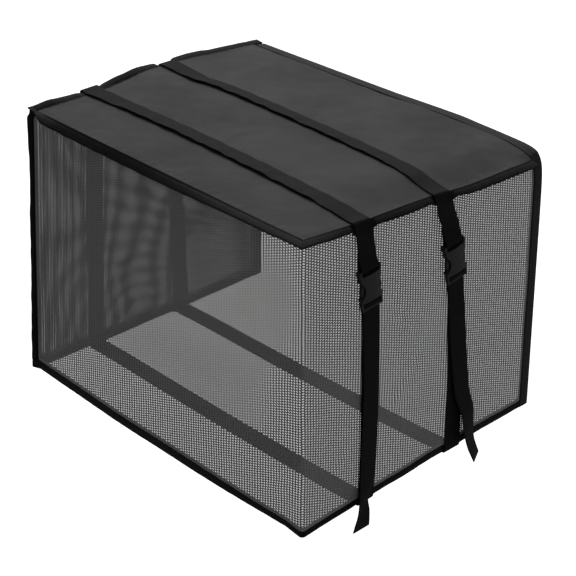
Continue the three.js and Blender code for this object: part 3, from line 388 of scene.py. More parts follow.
print("the front corner of the top lies at", soften([HALF_W, -HALF_D, 0.0]).round(1).tolist(), "mm")

# %% [markdown]
# ## From points to pieces
# Two builders make every soft piece. A sheet is a grid of points with a second grid behind it, closed round its
# rim. A band is a loop carried along a route, closed at both ends. Both write a flat layout called `cut`, in
# metres, so that weave and stitches keep their true scale however the cloth bends.

# %% Mesh builders
SHARP_ANGLE = math.radians(58)


def run_along(points):
    """How far each point of a line is from its start, along the line."""
    return np.concatenate([[0], np.cumsum(np.linalg.norm(np.diff(points, axis=0), axis=1))])


def quads_volume(points, quads):
    """Six times the signed volume that a closed set of quads holds."""
    p, q, r, s = (points[quads[:, i]] for i in range(4))
    return float((p * np.cross(q, r)).sum() + (p * np.cross(r, s)).sum())


def make_piece(name, points, quads, uvs, caps=()):
    """A closed mesh object from quads with a corner layout, and flat end caps that are given as loops."""
    points, quads, uvs = np.asarray(points, float), np.asarray(quads), np.asarray(uvs, float)
    caps = [list(c) for c in caps]
    extra = sum(
        float(np.dot(points[c[0]], np.cross(points[c[i]], points[c[i + 1]])))
        for c in caps
        for i in range(1, len(c) - 1)
    )
    if quads_volume(points, quads) + extra < 0:
        quads, uvs = quads[:, ::-1], uvs[:, ::-1]
        caps = [c[::-1] for c in caps]
    mesh = bpy.data.meshes.new(name)
    mesh.from_pydata((points * MM).tolist(), [], quads.tolist() + caps)
    layer = mesh.uv_layers.new(name="cut")
    corner = [uvs.reshape(-1, 2) * MM]
    corner += [points[c][:, :2] * MM for c in caps]
    layer.data.foreach_set("uv", np.concatenate(corner).astype(np.float32).ravel())
    mesh.shade_smooth()
    mesh.set_sharp_from_angle(angle=SHARP_ANGLE)
    piece = bpy.data.objects.new(name, mesh)
    bpy.context.scene.collection.objects.link(piece)
    return piece


def make_sheet(name, outer, inner, cut):
    """A sheet between two grids of points (columns, rows, 3), laid out flat by cut (columns, rows, 2)."""
    columns, rows = outer.shape[:2]
    points = np.concatenate([outer.reshape(-1, 3), inner.reshape(-1, 3)])
    flat = np.concatenate([cut.reshape(-1, 2)] * 2)
    ids = np.arange(columns * rows).reshape(columns, rows)
    under = ids + columns * rows

    def face(a, b, c, d):
        return np.stack([a.ravel(), b.ravel(), c.ravel(), d.ravel()], 1)

    quads = [
        face(ids[:-1, :-1], ids[1:, :-1], ids[1:, 1:], ids[:-1, 1:]),
        face(under[:-1, :-1], under[:-1, 1:], under[1:, 1:], under[1:, :-1]),
        face(ids[:-1, 0], under[:-1, 0], under[1:, 0], ids[1:, 0]),
        face(ids[:-1, -1], ids[1:, -1], under[1:, -1], under[:-1, -1]),
        face(ids[0, :-1], ids[0, 1:], under[0, 1:], under[0, :-1]),
        face(ids[-1, :-1], under[-1, :-1], under[-1, 1:], ids[-1, 1:]),
    ]
    quads = np.concatenate(quads)
    return make_piece(name, points, quads, flat[quads])


def make_band(name, sections, across=None):
    """A loop of points carried along a route: sections (stations, loop, 3). The layout runs along and round."""
    stations, sides = sections.shape[:2]
    points = sections.reshape(-1, 3)
    along = run_along(sections.mean(1))
    if across is None:
        across = run_along(np.concatenate([sections[0], sections[0][:1]]))
    quads, uvs = [], []
    for k in range(sides):
        nxt = (k + 1) % sides
        a = np.arange(stations - 1) * sides
        quads.append(np.stack([a + k, a + nxt, a + sides + nxt, a + sides + k], 1))
        lo, hi = np.full(stations - 1, across[k]), np.full(stations - 1, across[k + 1])
        here, there = along[:-1], along[1:]
        uvs.append(np.stack([np.stack(c, 1) for c in ((here, lo), (here, hi), (there, hi), (there, lo))], 1))
    quads, uvs = np.concatenate(quads), np.concatenate(uvs)
    last = (stations - 1) * sides
    caps = [list(range(sides))[::-1], [last + k for k in range(sides)]]
    return make_piece(name, points, quads, uvs, caps)


def wobble(at, seed, lengths, strength):
    """A gentle seeded unevenness along a line: a few waves of the given lengths in mm."""
    draw = np.random.default_rng(seed)
    total = np.zeros(np.shape(at))
    for length in lengths:
        total += np.sin(2 * np.pi * np.asarray(at) / length + draw.uniform(0, 2 * np.pi))
    return strength * total / len(lengths)


def clouds(x, y, seed, low, high, waves=14):
    """A soft unevenness over a surface: plane waves in seeded directions, between two lengths in mm."""
    draw = np.random.default_rng(seed)
    total = np.zeros(np.shape(x))
    for _ in range(waves):
        turn, length = draw.uniform(0, 2 * np.pi), draw.uniform(low, high)
        run = x * np.cos(turn) + y * np.sin(turn)
        total += np.sin(2 * np.pi * run / length + draw.uniform(0, 2 * np.pi))
    return total / math.sqrt(waves)


def gathers(along, height, pitch, drift, sway=2):
    """Small waves along a seam, as where stitches gather the cloth. Their pitch drifts a little."""
    return height * np.sin(2 * np.pi * along / pitch + sway * np.sin(along / drift))


def both_sides(profile, tip):
    """A closed loop from the upper half of a profile: its rows, the tip, and the same rows below."""
    return profile + [(tip, 0)] + [(share, -half) for share, half in profile[::-1]]


print("builders ready")

# %% [markdown]
# ## Shared effects
# Several finishes need the same effects: soft patches of lighter and darker cloth, threads that cross, a row of
# stitches, and the holes of the net. Each is a node group with named sockets, built once. The groups give only
# masks and heights. Every shader stays in its own material, where its fixed values are set directly.

# %% Helpers for node groups


class Nodes:
    """Short ways to add and join nodes in one tree."""

    def __init__(self, tree):
        self.tree = tree

    def add(self, kind, **settings):
        node = self.tree.nodes.new(kind)
        for key, value in settings.items():
            setattr(node, key, value)
        return node

    def join(self, source, target):
        self.tree.links.new(source, target)

    def feed(self, socket, value):
        """Joins a socket to another node's output, or sets its fixed value."""
        if hasattr(value, "is_output"):
            self.join(value, socket)
        elif value is not None:
            socket.default_value = value

    def math(self, operation, a, b=None, c=None):
        node = self.add("ShaderNodeMath", operation=operation)
        for socket, value in zip(node.inputs, (a, b, c)):
            self.feed(socket, value)
        return node.outputs[0]

    def between(self, value, low, high, to_low=0.0, to_high=1.0):
        """Maps a value smoothly from one range to another."""
        node = self.add("ShaderNodeMapRange", interpolation_type="SMOOTHSTEP")
        names = ("Value", "From Min", "From Max", "To Min", "To Max")
        for name, item in zip(names, (value, low, high, to_low, to_high)):
            self.feed(node.inputs[name], item)
        return node.outputs[0]

    def mix(self, factor, a, b):
        """A colour between two colours."""
        node = self.add("ShaderNodeMix", data_type="RGBA")
        self.feed(node.inputs[0], factor)
        self.feed(node.inputs[6], a)
        self.feed(node.inputs[7], b)
        return node.outputs[2]

    def noise(self, vector, scale, detail=2.0, roughness=0.5):
        node = self.add("ShaderNodeTexNoise")
        self.feed(node.inputs["Vector"], vector)
        self.feed(node.inputs["Scale"], scale)
        self.feed(node.inputs["Detail"], detail)
        self.feed(node.inputs["Roughness"], roughness)
        return node.outputs[0]

    def sway(self, vector, scale, reach):
        """Moves a layout a little, this way and that."""
        uneven = self.add("ShaderNodeTexNoise")
        self.feed(uneven.inputs["Vector"], vector)
        self.feed(uneven.inputs["Scale"], scale)
        shift = self.add("ShaderNodeVectorMath", operation="MULTIPLY_ADD")
        self.join(uneven.outputs["Color"], shift.inputs[0])
        shift.inputs[1].default_value = (reach, reach, 0)
        self.join(vector, shift.inputs[2])
        return shift.outputs[0]

    def parts(self, vector):
        node = self.add("ShaderNodeSeparateXYZ")
        self.feed(node.inputs[0], vector)
        return node.outputs[0], node.outputs[1], node.outputs[2]


def new_group(name, inputs, outputs):
    """A shader node group with named float or vector sockets, and its input and output nodes."""
    group = bpy.data.node_groups.new(name, "ShaderNodeTree")
    for label, kind, value in inputs:
        socket = group.interface.new_socket(name=label, in_out="INPUT", socket_type=kind)
        if value is not None:
            socket.default_value = value
    for label in outputs:
        group.interface.new_socket(name=label, in_out="OUTPUT", socket_type="NodeSocketFloat")
    n = Nodes(group)
    return group, n, n.add("NodeGroupInput").outputs, n.add("NodeGroupOutput").inputs


print("node helpers ready")

# %% The soft patches of worn or handled cloth


def build_patches():
    group, n, given, out = new_group(
        "cloth patches",
        [("Vector", "NodeSocketVector", None), ("Size", "NodeSocketFloat", 0.06), ("Contrast", "NodeSocketFloat", 0.5)],
        ["Mask"],
    )
    scale = n.math("DIVIDE", 1.0, given["Size"])
    wide = n.noise(given["Vector"], scale, 3.0, 0.45)
    fine = n.noise(given["Vector"], n.math("MULTIPLY", scale, 5.0), 2.0, 0.5)
    both = n.math("ADD", n.math("MULTIPLY", wide, 0.8), n.math("MULTIPLY", fine, 0.2))
    edge = n.math("MULTIPLY", given["Contrast"], 0.25)
    n.join(n.between(both, edge, n.math("SUBTRACT", 1.0, edge)), out["Mask"])
    return group


PATCHES = build_patches()
print("group:", PATCHES.name)

# %% [markdown]
# Threads that cross are drawn from the flat layout: one wave along, one across, and which of them is on top
# changes like a chess board. The same group serves the coated cloth, the tape and the webbing, with another
# spacing for each.

# %% The crossing threads


def build_weave():
    group, n, given, out = new_group(
        "crossing threads",
        [
            ("Vector", "NodeSocketVector", None),
            ("Spacing Along", "NodeSocketFloat", 0.001),
            ("Spacing Across", "NodeSocketFloat", 0.001),
        ],
        ["Height", "Thread"],
    )
    u, v, _ = n.parts(given["Vector"])
    along = n.math("DIVIDE", u, given["Spacing Along"])
    across = n.math("DIVIDE", v, given["Spacing Across"])
    wave_a = n.math("ABSOLUTE", n.math("SINE", n.math("MULTIPLY", along, math.pi)))
    wave_b = n.math("ABSOLUTE", n.math("SINE", n.math("MULTIPLY", across, math.pi)))
    cell = n.math("ADD", n.math("FLOOR", along), n.math("FLOOR", across))
    over = n.math("ABSOLUTE", n.math("MODULO", cell, 2.0))
    first = n.math("MULTIPLY", wave_a, n.math("ADD", 0.55, n.math("MULTIPLY", over, 0.45)))
    second = n.math("MULTIPLY", wave_b, n.math("SUBTRACT", 1.0, n.math("MULTIPLY", over, 0.45)))
    n.join(n.math("MAXIMUM", first, second), out["Height"])
    n.join(over, out["Thread"])
    return group


WEAVE = build_weave()
print("group:", WEAVE.name)

# %% The row of stitches


def build_stitches():
    group, n, given, out = new_group(
        "stitches",
        [
            ("Vector", "NodeSocketVector", None),
            ("Line", "NodeSocketFloat", 0.002),
            ("Pitch", "NodeSocketFloat", 0.0032),
            ("Thread Width", "NodeSocketFloat", 0.0007),
        ],
        ["Mask", "Height"],
    )
    u, v, _ = n.parts(given["Vector"])
    off_line = n.math("DIVIDE", n.math("ABSOLUTE", n.math("SUBTRACT", v, given["Line"])), given["Thread Width"])
    beat = n.math("FRACT", n.math("DIVIDE", u, given["Pitch"]))
    off_middle = n.math("MULTIPLY", n.math("ABSOLUTE", n.math("SUBTRACT", beat, 0.5)), 2.0)
    body = n.between(off_middle, 0.95, 0.6)
    thread = n.math("MULTIPLY", n.between(off_line, 1.0, 0.35), body)
    n.join(thread, out["Mask"])
    sunk = n.math("MULTIPLY", n.between(off_line, 3.2, 0.8), -0.7)
    n.join(n.math("ADD", sunk, thread), out["Height"])
    return group


STITCHES = build_stitches()
print("group:", STITCHES.name)

# %% [markdown]
# The net is knitted, with holes like a honeycomb in staggered columns about 4 mm apart. Holes this small are not
# cut. The group measures how far a point is from the nearest hole's middle and gives a mask for the material's
# Alpha and a rounded height for its yarn. A mask from outside can close the holes, as the doubled cloth beside a
# seam does.

# %% The honeycomb net


def build_net():
    group, n, given, out = new_group(
        "honeycomb net",
        [
            ("Vector", "NodeSocketVector", None),
            ("Column", "NodeSocketFloat", 0.0042),
            ("Row", "NodeSocketFloat", 0.0033),
            ("Hole Width", "NodeSocketFloat", 0.0026),
            ("Hole Height", "NodeSocketFloat", 0.0019),
            ("Closed", "NodeSocketFloat", 0.0),
        ],
        ["Yarn", "Height"],
    )
    u, v, _ = n.parts(given["Vector"])
    column = n.math("DIVIDE", u, given["Column"])
    odd = n.math("ABSOLUTE", n.math("MODULO", n.math("FLOOR", column), 2.0))
    row = n.math("ADD", n.math("DIVIDE", v, given["Row"]), n.math("MULTIPLY", odd, 0.5))
    side = n.math("ABSOLUTE", n.math("SUBTRACT", n.math("FRACT", column), 0.5))
    rise = n.math("ABSOLUTE", n.math("SUBTRACT", n.math("FRACT", row), 0.5))
    half_width = n.math("MULTIPLY", given["Hole Width"], 0.5)
    half_height = n.math("MULTIPLY", given["Hole Height"], 0.5)
    side = n.math("DIVIDE", n.math("MULTIPLY", side, given["Column"]), half_width)
    rise = n.math("DIVIDE", n.math("MULTIPLY", rise, given["Row"]), half_height)
    slant = n.math("ADD", n.math("MULTIPLY", side, 0.5), n.math("MULTIPLY", rise, 0.87))
    away = n.math("MAXIMUM", side, slant)
    yarn = n.between(away, 0.9, 1.06)
    n.join(n.math("MAXIMUM", yarn, given["Closed"]), out["Yarn"])
    n.join(n.between(away, 0.9, 1.7), out["Height"])
    return group


NET = build_net()
print("group:", NET.name)

# %% [markdown]
# ## Finishes
# Black cloth is only told apart by its grain and its sheen. The coated top is dark grey with a dull shine and
# soft clouds, as if handled. Tape and webbing are deeper black, ribbed, and almost without shine. The net's yarn
# is lighter, and its holes are partly filled with the yarn's colour as painted shade for the dark inside of the
# cover. On the buckle side that filling is thicker and the yarn is painted lighter, as painted light for that face.
# The plastic is moulded with a fine satin grain.

# %% Helpers for materials


def shade(level, blue):
    """A grey, with its own level of blue."""
    return (level, level, blue, 1)


def new_material(name, roughness, specular):
    """A material with its Principled shader, whose fixed values are set here."""
    material = bpy.data.materials.new(name)
    material.use_nodes = True
    shader = material.node_tree.nodes["Principled BSDF"]
    shader.inputs["Roughness"].default_value = roughness
    shader.inputs["Specular IOR Level"].default_value = specular
    return material, Nodes(material.node_tree), shader.inputs


def use_group(n, group, **values):
    """Places a shared group, with its sockets fed by name. A name's underline stands for a space."""
    node = n.add("ShaderNodeGroup", node_tree=group)
    for key, value in values.items():
        n.feed(node.inputs[key.replace("_", " ")], value)
    return node.outputs


def add_bump(n, sockets, height, strength, distance):
    """Feeds a height to a Bump node that gives the shader its normal."""
    bump = n.add("ShaderNodeBump")
    n.feed(bump.inputs["Strength"], strength)
    n.feed(bump.inputs["Distance"], distance)
    n.feed(bump.inputs["Height"], height)
    n.join(bump.outputs["Normal"], sockets["Normal"])


def cut_place(n):
    """The place on the flat layout, in metres."""
    return n.add("ShaderNodeUVMap", uv_map="cut").outputs[0]


def object_place(n):
    """The place on the whole cover, in metres."""
    return n.add("ShaderNodeTexCoord").outputs["Object"]


print("material helpers ready")

# %% The coated cloth of the top
COAT_DARK, COAT_LIGHT, COAT_WORN = shade(0.019, 0.0197), shade(0.037, 0.0382), shade(0.036, 0.037)
COAT_THREAD = 0.0011


def make_oxford():
    material, n, shader = new_material("coated oxford", 0.6, 0.3)
    place, cut = object_place(n), cut_place(n)
    clouding = use_group(n, PATCHES, Vector=place, Size=0.11, Contrast=0.9)["Mask"]
    rubbed = use_group(n, PATCHES, Vector=place, Size=0.025, Contrast=1.0)["Mask"]
    weave = use_group(n, WEAVE, Vector=cut, Spacing_Along=COAT_THREAD, Spacing_Across=COAT_THREAD)
    colour = n.mix(clouding, COAT_DARK, COAT_LIGHT)
    colour = n.mix(n.math("MULTIPLY", rubbed, 0.4), colour, COAT_WORN)
    colour = n.mix(n.math("MULTIPLY", weave["Height"], 0.35), colour, COAT_WORN)
    n.join(colour, shader["Base Color"])
    n.join(n.between(clouding, 0.0, 1.0, 0.6, 0.48), shader["Roughness"])
    creases = n.noise(place, 48.0, 5.0, 0.6)
    height = n.math("ADD", n.math("MULTIPLY", weave["Height"], 0.25), creases)
    add_bump(n, shader, height, 0.6, 0.0022)
    return material


OXFORD = make_oxford()
print("finish:", OXFORD.name)

# %% The knitted net
# how much of each hole is filled with the yarn's colour, on the outdoor face and on the buckle side: painted shade
# for the dark inside of the cover seen through the holes, at a different level on each face as painted light
FRONT_PAINTED_SHADE, SIDE_PAINTED_SHADE = 0.35, 0.44
# how much the layout of the outdoor face is shortened, so that its holes are wider, and how many mm on either
# side of the front corner the one look takes to become the other
WIDER, TURN_BLEND = 0.12, 6
# how the rows wander: scale of the unevenness and its reach in metres
SWAYS = [(9.0, 0.004), (60.0, 0.0005)]
# distances from an edge in metres between which the doubled cloth closes the holes
OPEN_FROM, CLOSED_FROM = 0.0065, 0.0035
YARN_DARK, YARN_LIGHT = shade(0.135, 0.139), shade(0.175, 0.179)
# the yarn's buckle side colour is painted light: the same yarn, lighter there than on the outdoor face
YARN_SIDE_LIT, YARN_FLANK = shade(0.45, 0.455), shade(0.3, 0.303)


def make_net():
    material, n, shader = new_material("knitted net", 0.62, 0.25)
    cut = cut_place(n)
    edge = n.add("ShaderNodeAttribute", attribute_name="edge").outputs["Fac"]
    u, v, _ = n.parts(cut)
    painted_side_light = n.between(u, (FRONT_RUN - TURN_BLEND) * MM, (FRONT_RUN + TURN_BLEND) * MM)
    # painted shade in the holes, at one level on the outdoor face and another on the buckle side
    painted_shade = n.between(painted_side_light, 0.0, 1.0, FRONT_PAINTED_SHADE, SIDE_PAINTED_SHADE)
    pulled = n.math("SUBTRACT", u, n.math("MULTIPLY", n.math("MINIMUM", u, FRONT_RUN * MM), WIDER))
    place = n.add("ShaderNodeCombineXYZ")
    n.join(pulled, place.inputs[0])
    n.join(v, place.inputs[1])
    moved = place.outputs[0]
    for scale, reach in SWAYS:
        moved = n.sway(moved, scale, reach)
    closed = n.between(edge, OPEN_FROM, CLOSED_FROM)
    net = use_group(n, NET, Vector=moved, Closed=closed)
    patches = use_group(n, PATCHES, Vector=object_place(n), Size=0.09, Contrast=0.6)["Mask"]
    colour = n.mix(patches, YARN_DARK, YARN_LIGHT)
    # painted light: on the buckle side the yarn is mixed toward a lighter grey
    colour = n.mix(n.math("MULTIPLY", painted_side_light, 0.18), colour, YARN_SIDE_LIT)
    colour = n.mix(net["Height"], n.mix(0.5, colour, YARN_FLANK), colour)
    n.join(colour, shader["Base Color"])
    # the holes' Alpha takes the painted shade
    n.join(n.math("MAXIMUM", net["Yarn"], painted_shade), shader["Alpha"])
    add_bump(n, shader, net["Height"], 0.5, 0.0006)
    return material


NET_FINISH = make_net()
print("finish:", NET_FINISH.name)

# %% The binding tape
# how wide the shaded sewn edge is, in metres, from where it ends to where it is full
SHADED = (0.0034, 0.0022)
DEEPEST = shade(0.0005, 0.0005)


def make_tape(name, line, dark, light, specular):
    """Tape with a row of stitches at a distance from its first edge. Its sewn edge lies in its own shade."""
    material, n, shader = new_material(name, 0.62, specular)
    cut = cut_place(n)
    weave = use_group(n, WEAVE, Vector=cut, Spacing_Along=0.0008, Spacing_Across=0.0016)
    sewn = use_group(n, STITCHES, Vector=cut, Line=line)
    worn = use_group(n, PATCHES, Vector=object_place(n), Size=0.03, Contrast=0.8)["Mask"]
    colour = n.mix(worn, shade(dark, dark * 1.05), shade(light, light * 1.05))
    colour = n.mix(n.math("MULTIPLY", weave["Height"], 0.4), colour, shade(light * 1.4, light * 1.45))
    colour = n.mix(n.math("MULTIPLY", sewn["Mask"], 0.6), colour, shade(light * 0.5, light * 0.5))
    across = n.math("ABSOLUTE", n.parts(cut)[1])
    colour = n.mix(n.between(across, *SHADED), colour, DEEPEST)
    n.join(colour, shader["Base Color"])
    height = n.math("ADD", n.math("MULTIPLY", weave["Height"], 0.3), sewn["Height"])
    add_bump(n, shader, height, 0.6, 0.0008)
    return material


TAPE = make_tape("binding tape", 0.0024, 0.0025, 0.005, 0.14)
# the opening tape is the same tape as the binding, painted lighter: painted light for the sheen on its flat top
OPENING_TAPE_LIT = make_tape("opening tape", 0.0072, 0.012, 0.022, 0.24)
print("finishes:", TAPE.name, "and", OPENING_TAPE_LIT.name)

# %% The webbing
WEB_DARK, WEB_LIGHT, WEB_RIB = shade(0.001, 0.0011), shade(0.0025, 0.0026), shade(0.004, 0.0042)


def make_webbing():
    material, n, shader = new_material("ribbed webbing", 0.62, 0.15)
    cut = cut_place(n)
    weave = use_group(n, WEAVE, Vector=cut, Spacing_Along=0.0022, Spacing_Across=0.0014)
    worn = use_group(n, PATCHES, Vector=object_place(n), Size=0.05, Contrast=0.8)["Mask"]
    colour = n.mix(worn, WEB_DARK, WEB_LIGHT)
    colour = n.mix(n.math("MULTIPLY", weave["Height"], 0.5), colour, WEB_RIB)
    n.join(colour, shader["Base Color"])
    add_bump(n, shader, weave["Height"], 0.7, 0.0007)
    return material


WEBBING = make_webbing()
print("finish:", WEBBING.name)

# %% The moulded plastic
PLASTIC_DARK, PLASTIC_LIGHT = shade(0.0095, 0.011), shade(0.017, 0.0195)


def make_plastic():
    material, n, shader = new_material("moulded plastic", 0.36, 0.4)
    place = object_place(n)
    grain = n.noise(place, 2600.0, 2.0, 0.6)
    rubbed = use_group(n, PATCHES, Vector=place, Size=0.01, Contrast=0.9)["Mask"]
    n.join(n.mix(rubbed, PLASTIC_DARK, PLASTIC_LIGHT), shader["Base Color"])
    n.join(n.between(grain, 0.3, 0.7, 0.3, 0.45), shader["Roughness"])
    add_bump(n, shader, grain, 0.25, 0.0002)
    return material


PLASTIC = make_plastic()
print("finish:", PLASTIC.name)

# %% [markdown]
# ## The top panel
# One sheet of coated cloth, cut a little larger than the top and sewn down on three sides. It is held down by the
# straps and puffs up between them. A simulation could find such folds, but the picture shows just where they
# lie, so the sheet follows the box's rule, with soft clouds of unevenness added and small puckers where the
# stitches gather it.

# %% Build the top panel
PANEL_COLUMNS, PANEL_ROWS, PANEL_THICK = 170, 130, 0.9
# half the width that a strap holds down, and the way from there to where the cloth is free
HELD_HALF, HELD_FADE = 15, 12


def strap_distance(x, y):
    """How far a point of the top is from the nearer strap's middle line."""
    return np.minimum(*[np.abs(y - read(s["top_y"], np.clip(x, -HALF_W, HALF_W))) for s in STRAPS])


def panel_lift(x, y):
    """The small unevenness of the top: clouds, and puckers at the sewn edges. It dies out under the straps."""
    free = 1 - fade(np.maximum(strap_distance(x, y) - HELD_HALF, 0), HELD_FADE)
    to_front, to_side = y + HALF_D, HALF_W - np.abs(x)
    free *= np.clip(np.minimum(to_front, to_side) / 4, 0, 1)
    gather = gathers(x, 0.45, 17, 31) * fade(np.maximum(to_front - 2, 0), 16)
    gather += gathers(y, 0.45, 15, 27) * fade(np.maximum(to_side - 2, 0), 14)
    inside = 1 - fade(np.minimum(to_front, to_side), 12)
    return free * (0.6 * clouds(x, y, 4, 55, 190) * inside + 0.22 * clouds(x, y, 9, 18, 44) * inside + gather)


def spread(first, last, count):
    """Places from first to last, evenly spaced but for one close to each end, where the cloth turns down."""
    return np.concatenate([[first], np.linspace(first + WALL_INSET, last - WALL_INSET, count - 2), [last]])


def build_top_panel():
    front, back = -HALF_D + GAP, HALF_D - EDGE_TAPE - GAP
    x, y = np.meshgrid(
        spread(-HALF_W + GAP, HALF_W - GAP, PANEL_COLUMNS),
        spread(front, back, PANEL_ROWS),
        indexing="ij",
    )
    lift = panel_lift(x, y)
    outer = soften(np.stack([x, y, 0 * x], -1)) + np.stack([0 * x, 0 * x, lift], -1)
    inner = soften(np.stack([x, y, 0 * x - PANEL_THICK], -1)) + np.stack([0 * x, 0 * x, lift], -1)
    return make_sheet("top_cloth", outer, inner, np.stack([x, y], -1))


top_cloth = build_top_panel()
top_cloth.data.materials.append(OXFORD)
print("top cloth faces:", len(top_cloth.data.polygons))

# %% [markdown]
# ## The net walls
# The outdoor face and the buckle side are one length of net, turned round the front corner without a seam. The
# far side is a second piece. The net hangs from the top seam, so it has soft upright folds, and a few slanting
# creases where the straps pull it. Each wall is a thin closed sheet with the net's holes in its material.

# %% The walls' line in plan
# how close to the front corner the walls' columns stand closer together, and how many there are on either side
NEAR_CORNER, CORNER_STEPS = 12, 9


def wall_at(turn):
    """Plan places and outward directions on the walls: 0 to 1 left, 1 to 2 outdoor face, 2 to 3 buckle side."""
    turn = np.asarray(turn, float)
    point, normal = np.zeros((len(turn), 3)), np.zeros((len(turn), 3))
    left = turn <= 1
    point[left, 0] = -WALL_X
    point[left, 1] = (WALL_Y + WALL_INSET) + (-WALL_Y - WALL_Y - WALL_INSET) * turn[left]
    normal[left, 0] = -1
    arc = np.where(turn <= 2, (turn - 2) * FRONT_RUN, (turn - 2) * SIDE_RUN)
    front = (turn > 1) & (arc < -SOFT_HALF)
    point[front, 0] = -WALL_X + (turn[front] - 1) * FRONT_RUN
    point[front, 1] = -WALL_Y
    normal[front, 1] = -1
    side = (turn > 1) & (arc > SOFT_HALF)
    centre_x, centre_y = WALL_X - CORNER_RADIUS, -WALL_Y + CORNER_RADIUS
    point[side, 0] = WALL_X
    point[side, 1] = centre_y + arc[side] - SOFT_HALF
    normal[side, 0] = 1
    bend = (turn > 1) & ~front & ~side
    angle = arc[bend] / CORNER_RADIUS - math.pi / 4
    normal[bend, 0], normal[bend, 1] = np.cos(angle), np.sin(angle)
    point[bend, 0] = centre_x + CORNER_RADIUS * np.cos(angle)
    point[bend, 1] = centre_y + CORNER_RADIUS * np.sin(angle)
    return point, normal


def turn_at_y(y, side):
    """The turn at which the buckle side or the far side reaches y."""
    if side < 0:
        return (WALL_Y + WALL_INSET - y) / (2 * WALL_Y + WALL_INSET)
    return 2 + (y + WALL_Y - CORNER_RADIUS + SOFT_HALF) / SIDE_RUN


def turns_between(first, last, step):
    """Turns about a step apart in mm, closer together round the front corner."""
    runs = {0: 2 * WALL_Y + WALL_INSET, 1: FRONT_RUN, 2: SIDE_RUN}
    turns = []
    for whole in (0, 1, 2):
        lo, hi = max(first, whole), min(last, whole + 1)
        if hi > lo:
            count = max(2, int((hi - lo) * runs[whole] / step))
            turns += list(np.linspace(lo, hi, count, endpoint=hi == last))
    if first < 2 < last:
        near = np.linspace(0, NEAR_CORNER, CORNER_STEPS)
        before, after = 2 - near[:0:-1] / FRONT_RUN, 2 + near / SIDE_RUN
        turns = [t for t in turns if not before[0] < t < after[-1]] + list(before) + list(after)
    return np.array(sorted(set(turns)))


RIGHT_OPEN, LEFT_OPEN = turn_at_y(HALF_D - EDGE_TAPE - GAP, 1), turn_at_y(HALF_D - EDGE_TAPE - GAP, -1)
print("the net wrap runs", round((RIGHT_OPEN - 2) * SIDE_RUN + FRONT_RUN), "mm from end to end")

# %% [markdown]
# Creases are drawn as short ridges on the flattened wall: where each starts and ends, how high and how wide it
# is. One slants down from under the first buckle, and its return runs down to the strap's side.

# %% Build the net walls
NET_THICK, NET_TOP, NET_STEP, NET_ROWS = 0.2, -1.4, 4.2, 96
# half the width that a strap holds down on the far side, and the way from there to where the net is free
FAR_HALF, FAR_FADE = 18, 14
# how far from the front corner the net starts to move freely
CORNER_CALM = 22
# the net's distance from an edge, in mm, that stands for its half closed holes in the fold of the front corner, and
# how fast it rises on the outdoor face and on the buckle side. The half closed holes darken the fold, partly as the
# net lying double there and partly as painted shade
FOLD_SHADE_EDGE, FOLD_SHADE_FRONT, FOLD_SHADE_SIDE = 5.1, 0.2, 1.0
# wall, then the ends (place along the wall in mm, height in mm), ridge height and width
CREASES = [
    ("right", (-75, -128), (2, -182), 1.6, 7),
    ("right", (6, -190), (-68, -296), 1.5, 6),
    ("right", (70, -165), (110, -140), 0.9, 6),
    ("right", (78, -300), (118, -268), 0.9, 7),
    ("right", (-178, -352), (-118, -290), 1.2, 7),
    ("right", (-160, -60), (-125, -20), 0.8, 9),
    ("front", (-250, -330), (-170, -352), 1.0, 9),
    ("front", (190, -352), (246, -318), 1.2, 9),
    ("front", (-255, -40), (-215, -18), 0.9, 9),
    ("left", (-120, -90), (40, -150), 1.2, 10),
    ("left", (60, -300), (150, -240), 1.0, 10),
]


def crease_lift(wall, along, z):
    """How far the creases of one wall stand out at each place."""
    total = np.zeros(np.shape(z))
    for name, start, end, height, width in CREASES:
        if name != wall:
            continue
        run = np.array(end, float) - np.array(start, float)
        length = float(np.hypot(*run))
        run /= length
        a = (along - start[0]) * run[0] + (z - start[1]) * run[1]
        b = (along - start[0]) * -run[1] + (z - start[1]) * run[0]
        ridge = np.exp(-((b / width) ** 2)) - 0.5 * np.exp(-(((b - 1.6 * width) / width) ** 2))
        total += height * ridge * np.sin(np.pi * np.clip(a / length, 0, 1)) ** 0.8
    return total


def strap_room(y, z):
    """0 under the straps on the buckle side, rising to 1 beside them."""
    near = np.minimum(*[np.abs(y - read(s["right_y"], z)) for s in STRAPS])
    return 1 - fade(np.maximum(near - HELD_HALF, 0), 10)


def net_lift(turn, point, z):
    """The net's own folds: soft gathers from the top seam, ripples above the hem, and the creases."""
    low = -z / HEIGHT
    on = {"right": turn > 2, "front": (turn > 1) & (turn <= 2), "left": turn <= 1}
    along = np.where(on["front"], point[..., 0], point[..., 1])
    hang = np.sin(np.pi * np.clip(low, 0, 1))
    lift = 0.5 * clouds(along, z * 0.35, 21, 45, 130) * hang
    lift += gathers(along, 0.35, 33, 40, 1.5) * np.exp(-np.abs(z) / 45) * hang
    lift += gathers(along, 0.3, 27, 35) * fade(np.maximum(1 - low - 0.05, 0), 0.2)
    for wall, here in on.items():
        lift += np.where(here, crease_lift(wall, along, z), 0)
    room = np.where(on["right"], strap_room(point[..., 1], z), 1.0)
    left_strap = np.minimum(*[np.abs(point[..., 1] - np.mean(s["left"])) for s in STRAPS])
    room = np.where(on["left"], 1 - fade(np.maximum(left_strap - FAR_HALF, 0), FAR_FADE), room)
    round_corner = np.clip(np.abs(turn - 2) * SIDE_RUN / CORNER_CALM, 0, 1)
    return lift * room * np.where(on["left"], 1.0, round_corner)


